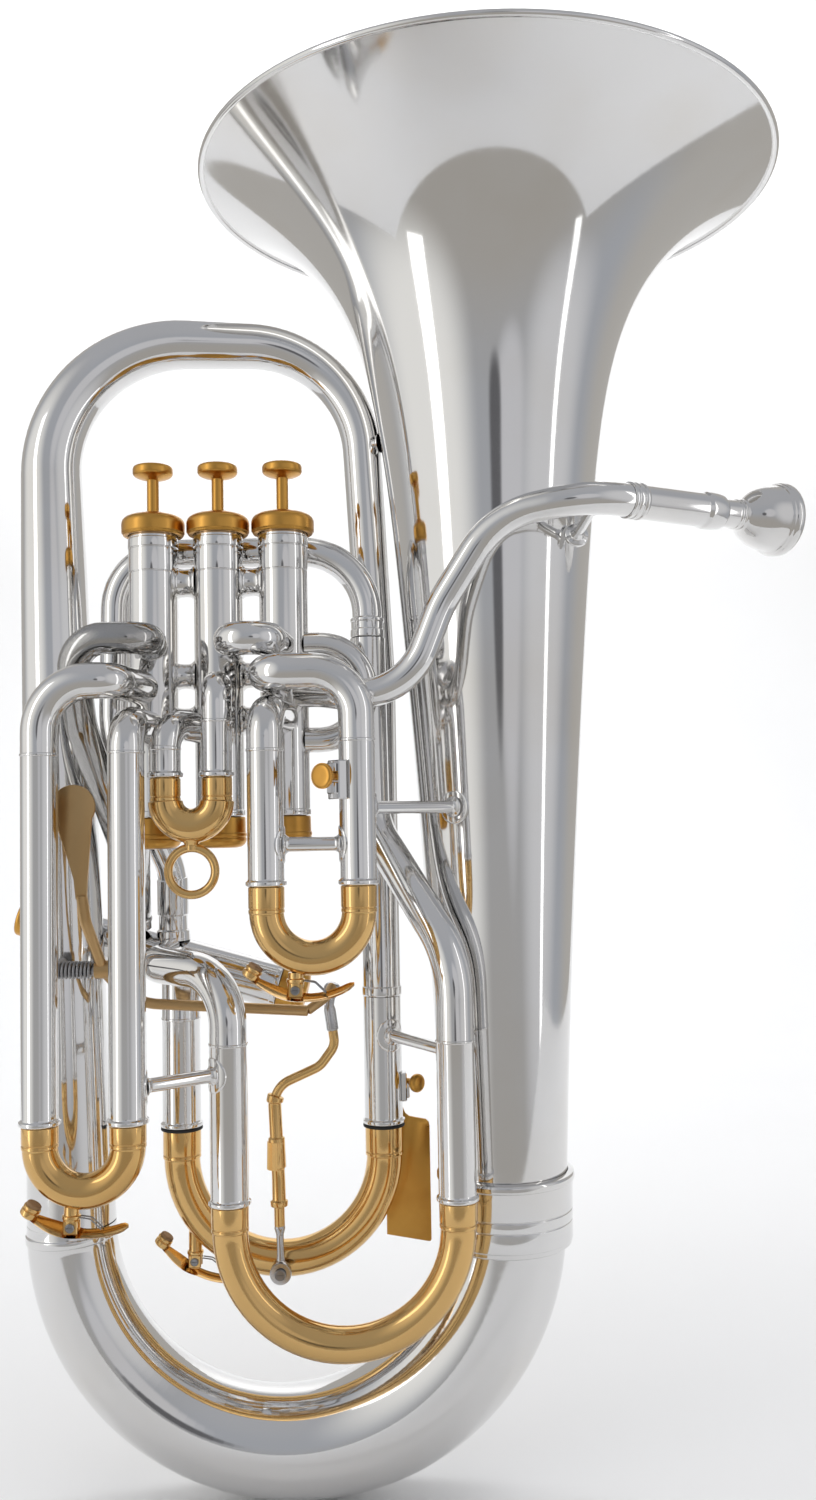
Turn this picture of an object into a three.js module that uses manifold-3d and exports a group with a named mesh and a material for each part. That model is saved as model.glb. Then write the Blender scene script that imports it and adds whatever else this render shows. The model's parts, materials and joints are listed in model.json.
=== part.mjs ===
// Compensating euphonium with three top valves, a side valve and a thumb-worked tuning slide.
// Millimetres, +Z up, +Y away from the player's front view, bell axis along Z.
import * as THREE from "three";
import { mergeVertices } from "three/addons/utils/BufferGeometryUtils.js";
import Module from "manifold-3d";

const wasm = await Module();
wasm.setup();

// ---- driving dimensions ------------------------------------------------------------------
const SHIFT = [54.88, 0, 0.18]; // bell axis to the middle of the whole instrument's footprint

const BELL_RIM_Z = 687;
const BELL_RIM_R = 152.5;
const BELL_END_Z = 146;
const BELL_WALL = 0.8;
// bell outline: height above the bow's lowest point, outside radius
const BELL_OUTLINE = [
  [BELL_END_Z, 31.4], [249, 36.2], [322, 39.8], [375, 43.6], [434, 47.6], [473, 50.6],
  [531, 57.4], [565, 62.4], [592, 68.6], [619, 79.5], [640, 93], [657, 109], [671, 128],
  [682.2, 147.4],
];

const BOW_SPAN = 225; // bell axis to the outer branch
const BOW_Z = 139.5; // where the bow's half circle starts
const BOW_R = [30.6, 31.0, 30.2, 27.4, 25.6, 24.0, 22.6];

const MAIN = { left: -170.1, right: -62.9, y: 14, crookZ: 168, ferruleZ: 184, topZ: 247,
  inner: 9.0, outer: 10.1, crook: 9.4, travel: 13.2, insert: 52 };
const SLIDE1 = { left: -113.6, right: -70.7, y: -80, crookZ: 302.4, ferruleZ: 314.5,
  inner: 7.85, outer: 8.55, crook: 8.1, insert: 60 };
const SLIDE2 = { left: -162.4, right: -137.8, y: -68, crookZ: 355.2, ferruleZ: 366,
  inner: 6.7, outer: 7.4, crook: 8.2, insert: 12 };
const SLIDE3 = { left: -219.0, right: -178.5, y: -80, crookZ: 196.8, ferruleZ: 206.8,
  inner: 7.85, outer: 8.55, crook: 8.1, insert: 90 };
const SLIDE4 = { left: -136.6, right: -26.4, y: -47, crookZ: 147.8, ferruleZ: 160,
  inner: 8.5, outer: 9.2, crook: 8.6, insert: 60 };

const VALVE_X = [-108.6, -141.6, -174.6];
const VALVE_Y = -30;
const VALVE_Z = 331.5; // bottom cap's lowest face
const VALVE_H = 170.5; // bottom cap to the top cap's upper face
const CASE_R = 12.4;
const CASE_BORE = 10.45;
const PISTON_R = 10.2;
const CAP_R = 15.9;
const STROKE = 15;
const SIDE_VALVE = { foot: [-104.7, 37, 249.0], lean: 16, height: 140 };

const LEAD_R = 7.2;
const SOCKET = [59.93, -69, 495.32]; // receiver's inner end
const SOCKET_TURN = 28; // degrees back round the bell
const SOCKET_TILT = 0.43; // degrees down to the mouthpiece

const PIVOT = { y: -50, z: 274 }; // trigger axle
const BALL = [-88, -5, 259]; // trigger's far end, over the link
const EYE = [-116.6, -5.2, 113]; // link's lower eye on the main crook
const GAP = 0.3; // between soldered neighbours

const SILVER = { color: 0xc9c7c3, roughness: 0.12, metalness: 1 };
const GOLD = { color: 0xc49447, roughness: 0.2, metalness: 1 };
const DEEP_GOLD = { color: 0xb87a2e, roughness: 0.35, metalness: 1 };
const STEEL = { color: 0x77777a, roughness: 0.35, metalness: 1 };

const rad = THREE.MathUtils.degToRad;
const V = (x, y, z) => new THREE.Vector3(x, y, z);

// ---- group and mesh helpers ---------------------------------------------------------------
const instrument = new THREE.Group();
instrument.name = "euphonium";

function add(name, geometry, finish) {
  const mesh = new THREE.Mesh(geometry, new THREE.MeshStandardMaterial(finish));
  mesh.name = name;
  mesh.position.set(...SHIFT);
  instrument.add(mesh);
  return mesh;
}

function toSolid(geometry) {
  const bare = geometry.clone();
  bare.deleteAttribute("uv");
  bare.deleteAttribute("normal");
  const welded = mergeVertices(bare, 1e-3);
  const mesh = new wasm.Mesh({
    numProp: 3,
    vertProperties: new Float32Array(welded.attributes.position.array),
    triVerts: new Uint32Array(welded.index.array),
  });
  mesh.merge();
  return new wasm.Manifold(mesh);
}

function fromSolid(solid) {
  const mesh = solid.getMesh();
  const geometry = new THREE.BufferGeometry();
  geometry.setAttribute("position", new THREE.BufferAttribute(mesh.vertProperties, 3));
  geometry.setIndex(new THREE.BufferAttribute(mesh.triVerts, 1));
  geometry.computeVertexNormals();
  return geometry;
}

function join(first, ...rest) {
  return fromSolid(rest.reduce((sum, part) => sum.add(toSolid(part)), toSolid(first)));
}

function cut(first, ...rest) {
  return fromSolid(rest.reduce((left, part) => left.subtract(toSolid(part)), toSolid(first)));
}

// ---- centre lines ----------------------------------------------------------------------------
// A line through points [x, y, z, bend radius], with each corner rounded to its radius.
function centreLine(points, step = 34) {
  const legs = [];
  let from = V(...points[0]);
  for (let i = 1; i < points.length; i++) {
    const corner = V(...points[i]);
    const radius = points[i][3];
    if (!radius || i === points.length - 1) {
      legs.push({ from, to: corner, length: from.distanceTo(corner) });
      from = corner;
      continue;
    }
    const into = corner.clone().sub(V(...points[i - 1])).normalize();
    const out = V(...points[i + 1]).sub(corner).normalize();
    const turn = into.angleTo(out);
    const back = radius * Math.tan(turn / 2);
    const start = corner.clone().addScaledVector(into, -back);
    const left = start.clone().sub(from).dot(into);
    if (left < -1e-6) throw new Error(`bend ${i} at ${points[i]} is too wide by ${-left}`);
    if (left > 1e-6) legs.push({ from, to: start, length: left });
    const side = out.clone().addScaledVector(into, -out.dot(into)).normalize();
    const centre = start.clone().addScaledVector(side, radius);
    legs.push({ centre, into, side, radius, turn, length: radius * turn,
      cuts: Math.max(2, Math.ceil(THREE.MathUtils.radToDeg(turn) / step)) });
    from = corner.clone().addScaledVector(out, back);
  }
  const marks = [0];
  let length = 0;
  for (const leg of legs) {
    const cuts = leg.cuts ?? 1;
    for (let k = 1; k <= cuts; k++) marks.push(length + (leg.length * k) / cuts);
    leg.at = length;
    length += leg.length;
  }
  const at = (s) => {
    const leg = legs.findLast((one) => one.at <= s + 1e-9) ?? legs[0];
    const t = s - leg.at;
    if (leg.to) {
      const way = leg.to.clone().sub(leg.from).normalize();
      return { point: leg.from.clone().addScaledVector(way, t), way };
    }
    const angle = t / leg.radius;
    const point = leg.centre.clone()
      .addScaledVector(leg.side, -leg.radius * Math.cos(angle))
      .addScaledVector(leg.into, leg.radius * Math.sin(angle));
    const way = leg.into.clone().multiplyScalar(Math.cos(angle))
      .addScaledVector(leg.side, Math.sin(angle));
    return { point, way };
  };
  return { length, marks, at };
}

// A coil round an axis along X.
function coilLine(centre, radius, span, turns, perTurn = 10) {
  const climb = span / (turns * Math.PI * 2);
  const length = turns * Math.PI * 2 * Math.hypot(radius, climb);
  const marks = [...Array(turns * perTurn + 1).keys()].map((k) => (length * k) / (turns * perTurn));
  const at = (s) => {
    const angle = (s / length) * turns * Math.PI * 2;
    const point = V(centre[0] + climb * angle, centre[1] + radius * Math.cos(angle),
      centre[2] + radius * Math.sin(angle));
    const way = V(climb, -radius * Math.sin(angle), radius * Math.cos(angle)).normalize();
    return { point, way };
  };
  return { length, marks, at };
}

// A turned piece carried along a centre line. Outside and inside are [distance, radius] pairs;
// without an inside the piece is solid.
function turned(line, outside, inside, sides = 10, firstSide = V(0, 1, 0)) {
  const fill = (pairs) => {
    const all = [];
    pairs.forEach(([s, r], i) => {
      if (i > 0) {
        const [s0, r0] = pairs[i - 1];
        for (const m of line.marks) {
          if (m > s0 + 0.05 && m < s - 0.05) all.push([m, r0 + ((r - r0) * (m - s0)) / (s - s0)]);
        }
      }
      all.push([s, r]);
    });
    return all;
  };
  const wall = fill(outside);
  const bore = inside ? fill(inside).reverse() : [[wall.at(-1)[0], 0], [wall[0][0], 0]];
  const profile = inside ? [...wall, ...bore, wall[0]] : [bore[1], ...wall, bore[0]];
  const frames = new Map();
  let side = null;
  for (const s of [...new Set(profile.map(([one]) => one))].sort((a, b) => a - b)) {
    const { point, way } = line.at(s);
    if (!side) side = Math.abs(firstSide.dot(way)) > 0.9 ? V(1, 0, 0) : firstSide.clone();
    side = side.clone().addScaledVector(way, -side.dot(way)).normalize();
    frames.set(s, { point, side, other: side.clone().cross(way) });
  }
  const stations = profile.map(([s]) => frames.get(s));
  const lathe = new THREE.LatheGeometry(profile.map(([s, r]) => new THREE.Vector2(r, s)), sides);
  const position = lathe.attributes.position;
  for (let i = 0; i < position.count; i++) {
    const frame = stations[i % stations.length];
    const place = frame.point.clone().addScaledVector(frame.side, position.getX(i))
      .addScaledVector(frame.other, position.getZ(i));
    position.setXYZ(i, place.x, place.y, place.z);
  }
  lathe.computeVertexNormals();
  return lathe;
}

// Plain tube of one thickness.
function tube(points, outer, inner, sides = 10, step = 40) {
  const line = centreLine(points, step);
  return turned(line, [[0, outer], [line.length, outer]], [[0, inner], [line.length, inner]], sides);
}

function rod(points, radius, sides = 8, step = 40) {
  const line = centreLine(points, step);
  return turned(line, [[0, radius], [line.length, radius]], null, sides);
}

// Straight turned piece from one point towards another, from its own profile.
function lathe(from, towards, outside, inside, sides = 14) {
  const way = V(...towards).sub(V(...from)).normalize();
  const far = V(...from).addScaledVector(way, 400);
  return turned(centreLine([from, far.toArray()]), outside, inside, sides);
}

// Plate drawn in XZ, with its thickness along Y from y0.
function plate(outline, thick, y0, holes = []) {
  const shape = new THREE.Shape(outline.map(([x, z]) => new THREE.Vector2(x, z)));
  for (const [x, z, r] of holes) {
    shape.holes.push(new THREE.Path().absarc(x, z, r, 0, Math.PI * 2, true));
  }
  const body = new THREE.ExtrudeGeometry(shape,
    { depth: thick, bevelEnabled: false, curveSegments: 8 });
  return body.rotateX(Math.PI / 2).translate(0, y0 + thick, 0);
}

// ---- bell and large branches -----------------------------------------------------------------
{
  const outline = BELL_OUTLINE.map(([z, r]) => [z, r]);
  const inner = outline.map(([z, r]) => [z + (r > 100 ? 0.9 : 0), r - BELL_WALL]);
  const rim = [
    [683.2, 150.6], [684.2, 153], [BELL_RIM_Z - 0.6, 153.2],
    [BELL_RIM_Z, BELL_RIM_R], [BELL_RIM_Z, BELL_RIM_R - 1.8], [684.8, 148.8],
  ];
  const loop = [...outline, ...rim, ...inner.reverse(), outline[0]];
  const bell = new THREE.LatheGeometry(loop.map(([z, r]) => new THREE.Vector2(r, z)), 32);
  add("bell", bell.rotateX(Math.PI / 2), SILVER);
}

add("bell_garland", lathe([0, 0, 126], [0, 0, 200],
  [[0, 32.6], [1.2, 33.6], [3, 33.6], [3.5, 34.3], [32, 34.5], [32.6, 35.4], [36, 35.4],
    [37, 34]],
  [[0, 33.0], [37, 33.0]], 18), SILVER);

{
  const line = centreLine([[0, 0, 145.7], [0, 0, BOW_Z - BOW_SPAN / 2, BOW_SPAN / 2 - 0.01],
    [-BOW_SPAN, 0, BOW_Z - BOW_SPAN / 2, BOW_SPAN / 2 - 0.01], [-BOW_SPAN, 0, BOW_Z]], 22.5);
  const run = line.length - 8;
  const wall = BOW_R.map((r, i) => [(run * i) / 6, r]);
  const ring = [[run + 0.4, 23.6], [run + 4, 23.6], [run + 4.4, 22.7], [line.length, 22.6]];
  const outside = [...wall, ...ring];
  const inside = [...BOW_R.map((r, i) => [(run * i) / 6, r - 1]), [line.length, 21.6]];
  add("bottom_bow", turned(line, outside, inside, 16), SILVER);
}

{
  const line = centreLine([[-BOW_SPAN, 0, BOW_Z + 0.9], [-236.2, 0, 603.8, 72], [-72, 20, 603.8, 60],
    [-62.9, MAIN.y, 420, 200], [-62.9, MAIN.y, 251]], 24);
  const end = line.length;
  const taper = [[0, 22.5], [180, 19.6], [330, 17.3], [415, 15.2], [520, 12.6], [640, 10.4],
    [760, 10.0], [end - 7, 10.0], [end - 6.8, 10.6], [end, 10.6]];
  const bore = [[0, 21.5], [180, 18.6], [330, 16.3], [415, 14.2], [520, 11.6], [640, 9.4], [end, 9.2]];
  add("top_branch", turned(line, taper, bore, 12), SILVER);
}

// ---- slides ----------------------------------------------------------------------------------
// Bead profile for the open end of an outer slide tube, then its plain run.
const beaded = (r, length) => [[0, r + 1.1], [2.5, r + 1.1], [2.8, r], [length, r]];

// The pulled crook of a slide: long inner leg, sleeve, half circle, sleeve, inner leg.
function crook(slide, sides = 10) {
  const { left, right, y, crookZ, ferruleZ, inner, crook: r, insert } = slide;
  const bend = (right - left) / 2;
  const top = ferruleZ + insert;
  const line = centreLine([[left, y, top], [left, y, crookZ - bend, bend - 0.01],
    [right, y, crookZ - bend, bend - 0.01], [right, y, top]], 30);
  const sleeve = insert + GAP;
  const far = line.length - sleeve;
  const lip = ferruleZ - crookZ;
  const fat = slide.outer - 0.1;
  return turned(line,
    [[0, inner], [sleeve, inner], [sleeve + 0.2, fat], [sleeve + lip, fat], [sleeve + lip + 0.4, r],
      [far - lip - 0.4, r], [far - lip, fat], [far - 0.2, fat], [far, inner], [line.length, inner]],
    [[0, inner - 0.7], [line.length, inner - 0.7]], sides);
}

function outerTube(x, y, ferruleZ, r, bore, rest, sides = 10) {
  const line = centreLine([[x, y, ferruleZ], ...rest], 46);
  return turned(line, beaded(r, line.length), [[0, bore], [line.length, bore]], sides);
}

// Main tuning slide
add("main_outer_right", outerTube(MAIN.right, MAIN.y, MAIN.ferruleZ, MAIN.outer, MAIN.inner + 0.2,
  [[MAIN.right, MAIN.y, 250.7]]), SILVER);
add("main_outer_left", outerTube(MAIN.left, MAIN.y, MAIN.ferruleZ, MAIN.outer, MAIN.inner + 0.2,
  [[MAIN.left, MAIN.y, MAIN.topZ + 15]]), SILVER);
const mainPost = rod([[EYE[0], 6.4, EYE[2]], [EYE[0], -9.2, EYE[2]]], 1.9, 10);
const keyPost = (x, z, y, drop) => join(rod([[x, y, z + drop], [x, y, z - 1.2]], 2.0, 10),
  rod([[x, y - 4.8, z], [x, y + 4.8, z]], 1.1, 10));
const MAIN_KEY = [-163.5, 114];
add("main_crook", join(crook(MAIN), mainPost, keyPost(MAIN_KEY[0], MAIN_KEY[1], MAIN.y, 15)), GOLD);

// First slide: outer tubes with their returns to the valve
add("slide_1_outer_left", outerTube(SLIDE1.left, SLIDE1.y, SLIDE1.ferruleZ, SLIDE1.outer,
  SLIDE1.inner + 0.2, [[SLIDE1.left, SLIDE1.y, 396, 12], [-110, -43.6, 396]]), SILVER);
add("slide_1_outer_right", join(
  outerTube(SLIDE1.right, SLIDE1.y, SLIDE1.ferruleZ, SLIDE1.outer, SLIDE1.inner + 0.2,
    [[SLIDE1.right, SLIDE1.y, 414.4, 21], [-114.6, SLIDE1.y, 414.4, 9.6], [-112, -43.4, 414.4]]),
  rod([[-78.9, SLIDE1.y, 333.5], [-104.6, SLIDE1.y, 333.5]], 3.4),
  rod([[-64.9, -74.3, 350], [-24.9, -35.0, 350]], 3.1)), SILVER);
const KEY1 = [-100.5, 266.5];
add("slide_1_crook", join(crook(SLIDE1), keyPost(KEY1[0], KEY1[1], SLIDE1.y, 10)), GOLD);

// Second slide and its pull ring
add("slide_2_outer_left", outerTube(SLIDE2.left, SLIDE2.y, SLIDE2.ferruleZ, SLIDE2.outer,
  SLIDE2.inner + 0.2, [[SLIDE2.left, SLIDE2.y, 391, 12], [-150.5, -44.5, 391]]), SILVER);
add("slide_2_outer_right", outerTube(SLIDE2.right, SLIDE2.y, SLIDE2.ferruleZ, SLIDE2.outer,
  SLIDE2.inner + 0.2, [[SLIDE2.right, SLIDE2.y, 410, 9], [-139.5, -43.2, 410]]), SILVER);
{
  const ringZ = 321.4;
  const ring = new THREE.TorusGeometry(11.1, 2.1, 7, 18).rotateX(Math.PI / 2)
    .translate(-150.1, SLIDE2.y, ringZ);
  const foot = rod([[-150.1, SLIDE2.y, ringZ + 12], [-150.1, SLIDE2.y, ringZ + 16]], 3.2, 10);
  add("slide_2_crook", join(crook(SLIDE2), ring, foot), GOLD);
}

// Third slide
add("slide_3_outer_left", outerTube(SLIDE3.left, SLIDE3.y, SLIDE3.ferruleZ, SLIDE3.outer,
  SLIDE3.inner + 0.2,
  [[SLIDE3.left, SLIDE3.y, 411.6, 24], [-184.5, SLIDE3.y, 411.6, 9.6], [-180, -43.6, 411.6]]), SILVER);
add("slide_3_outer_right", outerTube(SLIDE3.right, SLIDE3.y, SLIDE3.ferruleZ, SLIDE3.outer,
  SLIDE3.inner + 0.2, [[SLIDE3.right, SLIDE3.y, 391.5, 12], [-176, -43.4, 391.5]]), SILVER);
const KEY3 = [-204.5, 161];
add("slide_3_crook", join(crook(SLIDE3), keyPost(KEY3[0], KEY3[1], SLIDE3.y, 10)), GOLD);

// Fourth slide: the long front loop
add("slide_4_outer_left", join(
  outerTube(SLIDE4.left, SLIDE4.y, SLIDE4.ferruleZ, SLIDE4.outer, SLIDE4.inner + 0.2,
    [[SLIDE4.left, SLIDE4.y, 270, 26], [-178, -14, 272, 16], [-178, 23.6, 272]]),
  rod([[-143.5, -52.4, 222.6], [-171.5, -74.5, 222.6]], 3.3)), SILVER);
add("slide_4_outer_right", join(
  outerTube(SLIDE4.right, SLIDE4.y, SLIDE4.ferruleZ, SLIDE4.outer, SLIDE4.inner + 0.2,
    [[SLIDE4.right, SLIDE4.y, 276, 52], [-66, -9, 342, 34], [-67, -9, 438.6]]),
  rod([[-30.9, -39.5, 230.8], [-57.5, 4.8, 230.8]], 3.1)), SILVER);
add("slide_4_crook", crook(SLIDE4), GOLD);

// ---- loops between the valves ----------------------------------------------------------------
{
  const line = centreLine([[-67, -9, 439], [-67, -8, 485.7, 34], [-198, -7.4, 485.7, 29],
    [-201, -5, 388, 60], [-177.5, 33, 318, 28], [-177.5, 34.5, 285.6]], 34);
  add("rear_loop", turned(line, [[0, 8.9], [10, 8.9], [10.3, 7.8], [line.length, 7.8]],
    [[0, 7.2], [line.length, 7.2]]), SILVER);
}
add("third_loop", tube([[-173, -43.5, 433.5], [-171, -66, 433.5, 9.4], [-208, -66, 433.5, 17],
  [-208, -45, 393, 40], [-196, 18, 318, 22], [-196, 28, 291]], 7.8, 7.0), SILVER);
add("front_u_bend", tube([[-133.2, -43.4, 432.4], [-131.2, -66, 432.4, 8.7],
  [-113.4, -66, 432.4, 8.7], [-111.4, -43.4, 432.4]], 8.2, 7.4), SILVER);
add("first_loop", tube([[-95.4, -32, 433], [-68, -32, 433, 23], [-68, -32, 385, 23],
  [-95.4, -32, 385]], 6.6, 5.9), SILVER);

// ---- leadpipe, receiver, mouthpiece ----------------------------------------------------------
const tilt = rad(SOCKET_TILT);
const turnBack = rad(SOCKET_TURN);
const alongPipe = (s) => [SOCKET[0] + s * Math.cos(tilt) * Math.cos(turnBack),
  SOCKET[1] + s * Math.cos(tilt) * Math.sin(turnBack), SOCKET[2] - s * Math.sin(tilt)];
{
  const start = alongPipe(-0.4);
  const line = centreLine([[-96.6, -37.6, 408.6], [-76, -60, 404.5, 20], [-46, -63, 406.6, 34],
    [-30, -63, 447, 60], [-3, -68, 489, 44], [...alongPipe(-22), 50],
    start], 34);
  const end = line.length;
  const pipe = turned(line, [[0, LEAD_R], [end - 60, LEAD_R], [end, 8.1]],
    [[0, LEAD_R - 0.8], [end, LEAD_R - 0.8]]);
  const brace = lathe([44, -69.9, 492], [39, -38, 484],
    [[0, 2.6], [29.2, 2.6], [29.8, 4.4], [30, 6.2], [31, 6.2]], null, 16);
  add("leadpipe", join(pipe, brace), SILVER);
}
add("receiver", lathe(SOCKET, alongPipe(10),
  [[0, 9.0], [8, 9.0], [8.6, 8.4], [46, 8.4], [47, 9.2], [57, 9.0], [58.6, 8.0]],
  [[0, 7.0], [58.6, 7.0]], 20), SILVER);
{
  // shank, cup and rim; the throat runs right through
  const out = [[31, 5.6], [59, 6.7], [66, 7.2], [69, 7.0], [73, 9.6], [78, 12.8], [84, 15.6],
    [89.5, 16.8], [92.4, 17.4], [94.6, 18.6], [97.6, 18.7], [99.2, 17.0]];
  const bore = [[31, 5.0], [60, 4.2], [70, 3.4], [76, 6.0], [82, 10.2], [91, 12.4], [99.2, 14.6]];
  add("mouthpiece", lathe(SOCKET, alongPipe(10), out, bore, 14), SILVER);
}

// ---- valves ----------------------------------------------------------------------------------
// One valve standing on its bottom cap at foot, along up; travel is down into the casing.
function valve(n, foot, up, height, knuckles) {
  const way = V(...up).normalize();
  const spot = (w) => V(...foot).addScaledVector(way, w).toArray();
  const piece = (out, bore, sides = 14) => lathe(foot, spot(1), out, bore, sides);
  let casing = piece([[15.8, CASE_R], [height - 6.6, CASE_R]],
    [[15.8, CASE_BORE], [height - 6.6, CASE_BORE]]);
  for (const knuckle of knuckles ?? []) casing = join(casing, knuckle);
  add(`casing_${n}`, casing, SILVER);
  add(`top_cap_${n}`, piece(
    [[height - 12, 12.9], [height - 12, 15.0], [height - 10.6, CAP_R], [height - 5, CAP_R],
      [height - 3.2, 15.2], [height - 1, 12.6], [height, 9]],
    [[height - 12, 12.9], [height - 6, 12.9], [height - 6, 3.4], [height, 3.4]]), DEEP_GOLD);
  add(`bottom_cap_${n}`, piece(
    [[0, 10.0], [1.2, 12.0], [3, 12.9], [6.5, 12.9], [7, 12.4], [15.4, 12.4], [15.5, 10.1],
      [19, 10.1]],
    [[0, 2.0], [2.8, 2.0], [2.8, 8.9], [19, 8.9]]), DEEP_GOLD);
  const crown = height - 15;
  add(`piston_${n}`, piece(
    [[43, PISTON_R], [crown, PISTON_R]],
    [[43, 8.8], [crown - 3, 8.8], [crown - 3, 1.9], [crown, 1.9]]), STEEL);
  const head = height + 17;
  add(`button_${n}`, piece(
    [[crown - 2.7, 1.6], [crown + 0.3, 1.6], [crown + 0.3, 3.0], [head, 3.0], [head + 0.2, 6.0],
      [head + 2, 9.4], [head + 3.4, 10.1], [head + 6, 10.1], [head + 7.2, 9.2], [head + 7.4, 7.0]],
    null, 12), DEEP_GOLD);
  const turnsUp = coilLine([0, 0, 0], 6.8, 36.6, 4, 7);
  const spring = turned(turnsUp, [[0, 0.75], [turnsUp.length, 0.75]], null, 4);
  const turn = new THREE.Quaternion().setFromUnitVectors(V(1, 0, 0), way);
  spring.applyQuaternion(turn).translate(...spot(4.2));
  add(`valve_spring_${n}`, spring, STEEL);
}

// Short tubes that join neighbouring casings; they belong to the middle casing.
const knuckles = [];
for (const side of [-1, 1]) {
  for (const z of [466, 418.5, 396]) {
    const from = [VALVE_X[1] + side * 11.6, VALVE_Y + 1, z];
    const to = [VALVE_X[1] + side * 24.4, VALVE_Y + 1, z];
    const stub = rod([from, to], z > 440 ? 7.4 : 6.8, 12);
    const neighbour = rod([[VALVE_X[1] + side * 33, VALVE_Y, z - 12],
      [VALVE_X[1] + side * 33, VALVE_Y, z + 12]], CASE_R + 0.35, 16);
    knuckles.push(cut(stub, neighbour));
  }
}
VALVE_X.forEach((x, i) => {
  valve(i + 1, [x, VALVE_Y, VALVE_Z], [0, 0, 1], VALVE_H, i === 1 ? knuckles : []);
});
{
  const lean = rad(SIDE_VALVE.lean);
  valve(4, SIDE_VALVE.foot, [-Math.cos(lean), 0, Math.sin(lean)], SIDE_VALVE.height, []);
}

// ---- trigger ---------------------------------------------------------------------------------
{
  const centre = [-206.6, 352.8];
  const rim = [...Array(13).keys()].map((k) => {
    const a = rad(-32 + (244 * k) / 12);
    return [centre[0] + 10.6 * Math.cos(a), centre[1] + 10.6 * Math.sin(a)];
  });
  const spoon = plate([...rim, [-206.3, 318], [-205.4, 309], [-200.2, 309], [-199.9, 318]], 2.2, -67.4);
  const arm = rod([[-202.8, -66.2, 311], [-201.5, -64, 298, 12], [-196.6, -50, PIVOT.z, 8],
    [-189, -30, 257.5, 8], [-178, -22, 253.2, 8], [-99.5, -22, 248.4]], 2.7, 10);
  const hub = lathe([-200.2, PIVOT.y, PIVOT.z], [-180, PIVOT.y, PIVOT.z], [[0, 4.4], [8, 4.4]], null, 14);
  const bore = rod([[-202, PIVOT.y, PIVOT.z], [-188, PIVOT.y, PIVOT.z]], 2.15, 12);
  const finger = rod([[-99.8, -22, 248.4], [-91, -16, 254, 5], [BALL[0], BALL[1] - 3.4, BALL[2]]], 2.4, 10);
  add("trigger_lever", cut(join(spoon, arm, hub, finger), bore), GOLD);
  const axle = rod([[-223, PIVOT.y, PIVOT.z], [-189.4, PIVOT.y, PIVOT.z]], 2.0, 12);
  const post = rod([[-222.6, PIVOT.y - 2, PIVOT.z], [-224.4, -21.4, PIVOT.z]], 3.0, 12);
  add("trigger_axle", join(axle, post), STEEL);
  const coil = coilLine([-218.4, PIVOT.y, PIVOT.z], 3.6, 16.6, 6, 7);
  add("trigger_spring", turned(coil, [[0, 0.7], [coil.length, 0.7]], null, 4), STEEL);
}
{
  const [x, y, z] = EYE;
  const line = centreLine([[x, y, z + 3.4], [x - 0.6, y, 160], [-119.1, y, 207, 13], [-95, y, 217.5, 12],
    [-87.2, y, 228, 9], [-90, y, 249.2]], 40);
  const s = (height) => height - z - 3.4;
  const out = [[0, 2.6], [6, 2.0], [17.5, 1.9], [20, 2.9], [30, 2.9], [30.4, 4.6], [33, 4.6], [33.4, 3.4],
    [49.5, 3.4], [50, 4.5], [65, 4.5], [65.5, 3.4], [83, 3.4], [83.4, 4.4], [86.5, 4.4], [87, 2.5],
    [line.length - 13, 2.5], [line.length - 12.6, 3.1], [line.length, 3.1]];
  const link = turned(line, out, null, 8);
  const eye = lathe([x, y - 2.6, z], [x, y + 2.6, z], [[0, 5.6], [5.2, 5.6]], null, 16);
  const hole = rod([[x, y - 9, z], [x, y + 9, z]], 2.2, 12);
  const fork = lathe([BALL[0] - 1.6, BALL[1], 248.6], [BALL[0], BALL[1], BALL[2]],
    [[0, 2.4], [4, 2.6], [6.6, 4.2], [7.4, 3.2]], null, 12);
  add("trigger_link", cut(join(link, eye, fork), hole), GOLD);
}

// ---- water keys ------------------------------------------------------------------------------
// Curved lever under a crook: cork pad at one end, thumb plate at the other, turning on a pin.
function waterKey(name, [px, pz], y, pad, tip, sag) {
  const steps = 6;
  const bow = (t, off) => {
    const x = pad[0] + (tip[0] - pad[0]) * t;
    const zz = pad[1] + (tip[1] - pad[1]) * t - sag * 4 * t * (1 - t);
    return [x, zz + off];
  };
  const upper = [...Array(steps + 1).keys()].map((k) => bow(k / steps, 0.8));
  const lower = upper.map(([x, z]) => [x, z - 1.6]).reverse();
  const strip = plate([...lower.reverse(), ...upper.reverse()], 6, y - 3);
  const cheeks = [-3.9, 2.5].map((dy) => plate([[px - 3, pz + 2.4], [px - 3, pz - 5.5],
    [px + 3, pz - 5.5], [px + 3, pz + 2.4]], 1.4, y + dy));
  const pin = rod([[px, y - 6, pz], [px, y + 6, pz]], 1.3, 12);
  const cork = lathe([pad[0], y, pad[1]], [pad[0] + pad[2] * 5, y, pad[1] + 5],
    [[-0.5, 4.6], [4.0, 4.6], [4.2, 3.8], [6.2, 3.8]], null, 14);
  return add(name, cut(join(strip, cork, ...cheeks), pin), GOLD);
}
waterKey("water_key_1", KEY1, SLIDE1.y, [-121.8, 272.5, 0.62], [-73.4, 268.5], 8);
waterKey("water_key_3", KEY3, SLIDE3.y, [-224.5, 166, 0.6], [-178.5, 160.5], 6);
waterKey("water_key_main", MAIN_KEY, MAIN.y, [-181.5, 122, 0.7], [-146, 103.4], 4.5);

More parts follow.
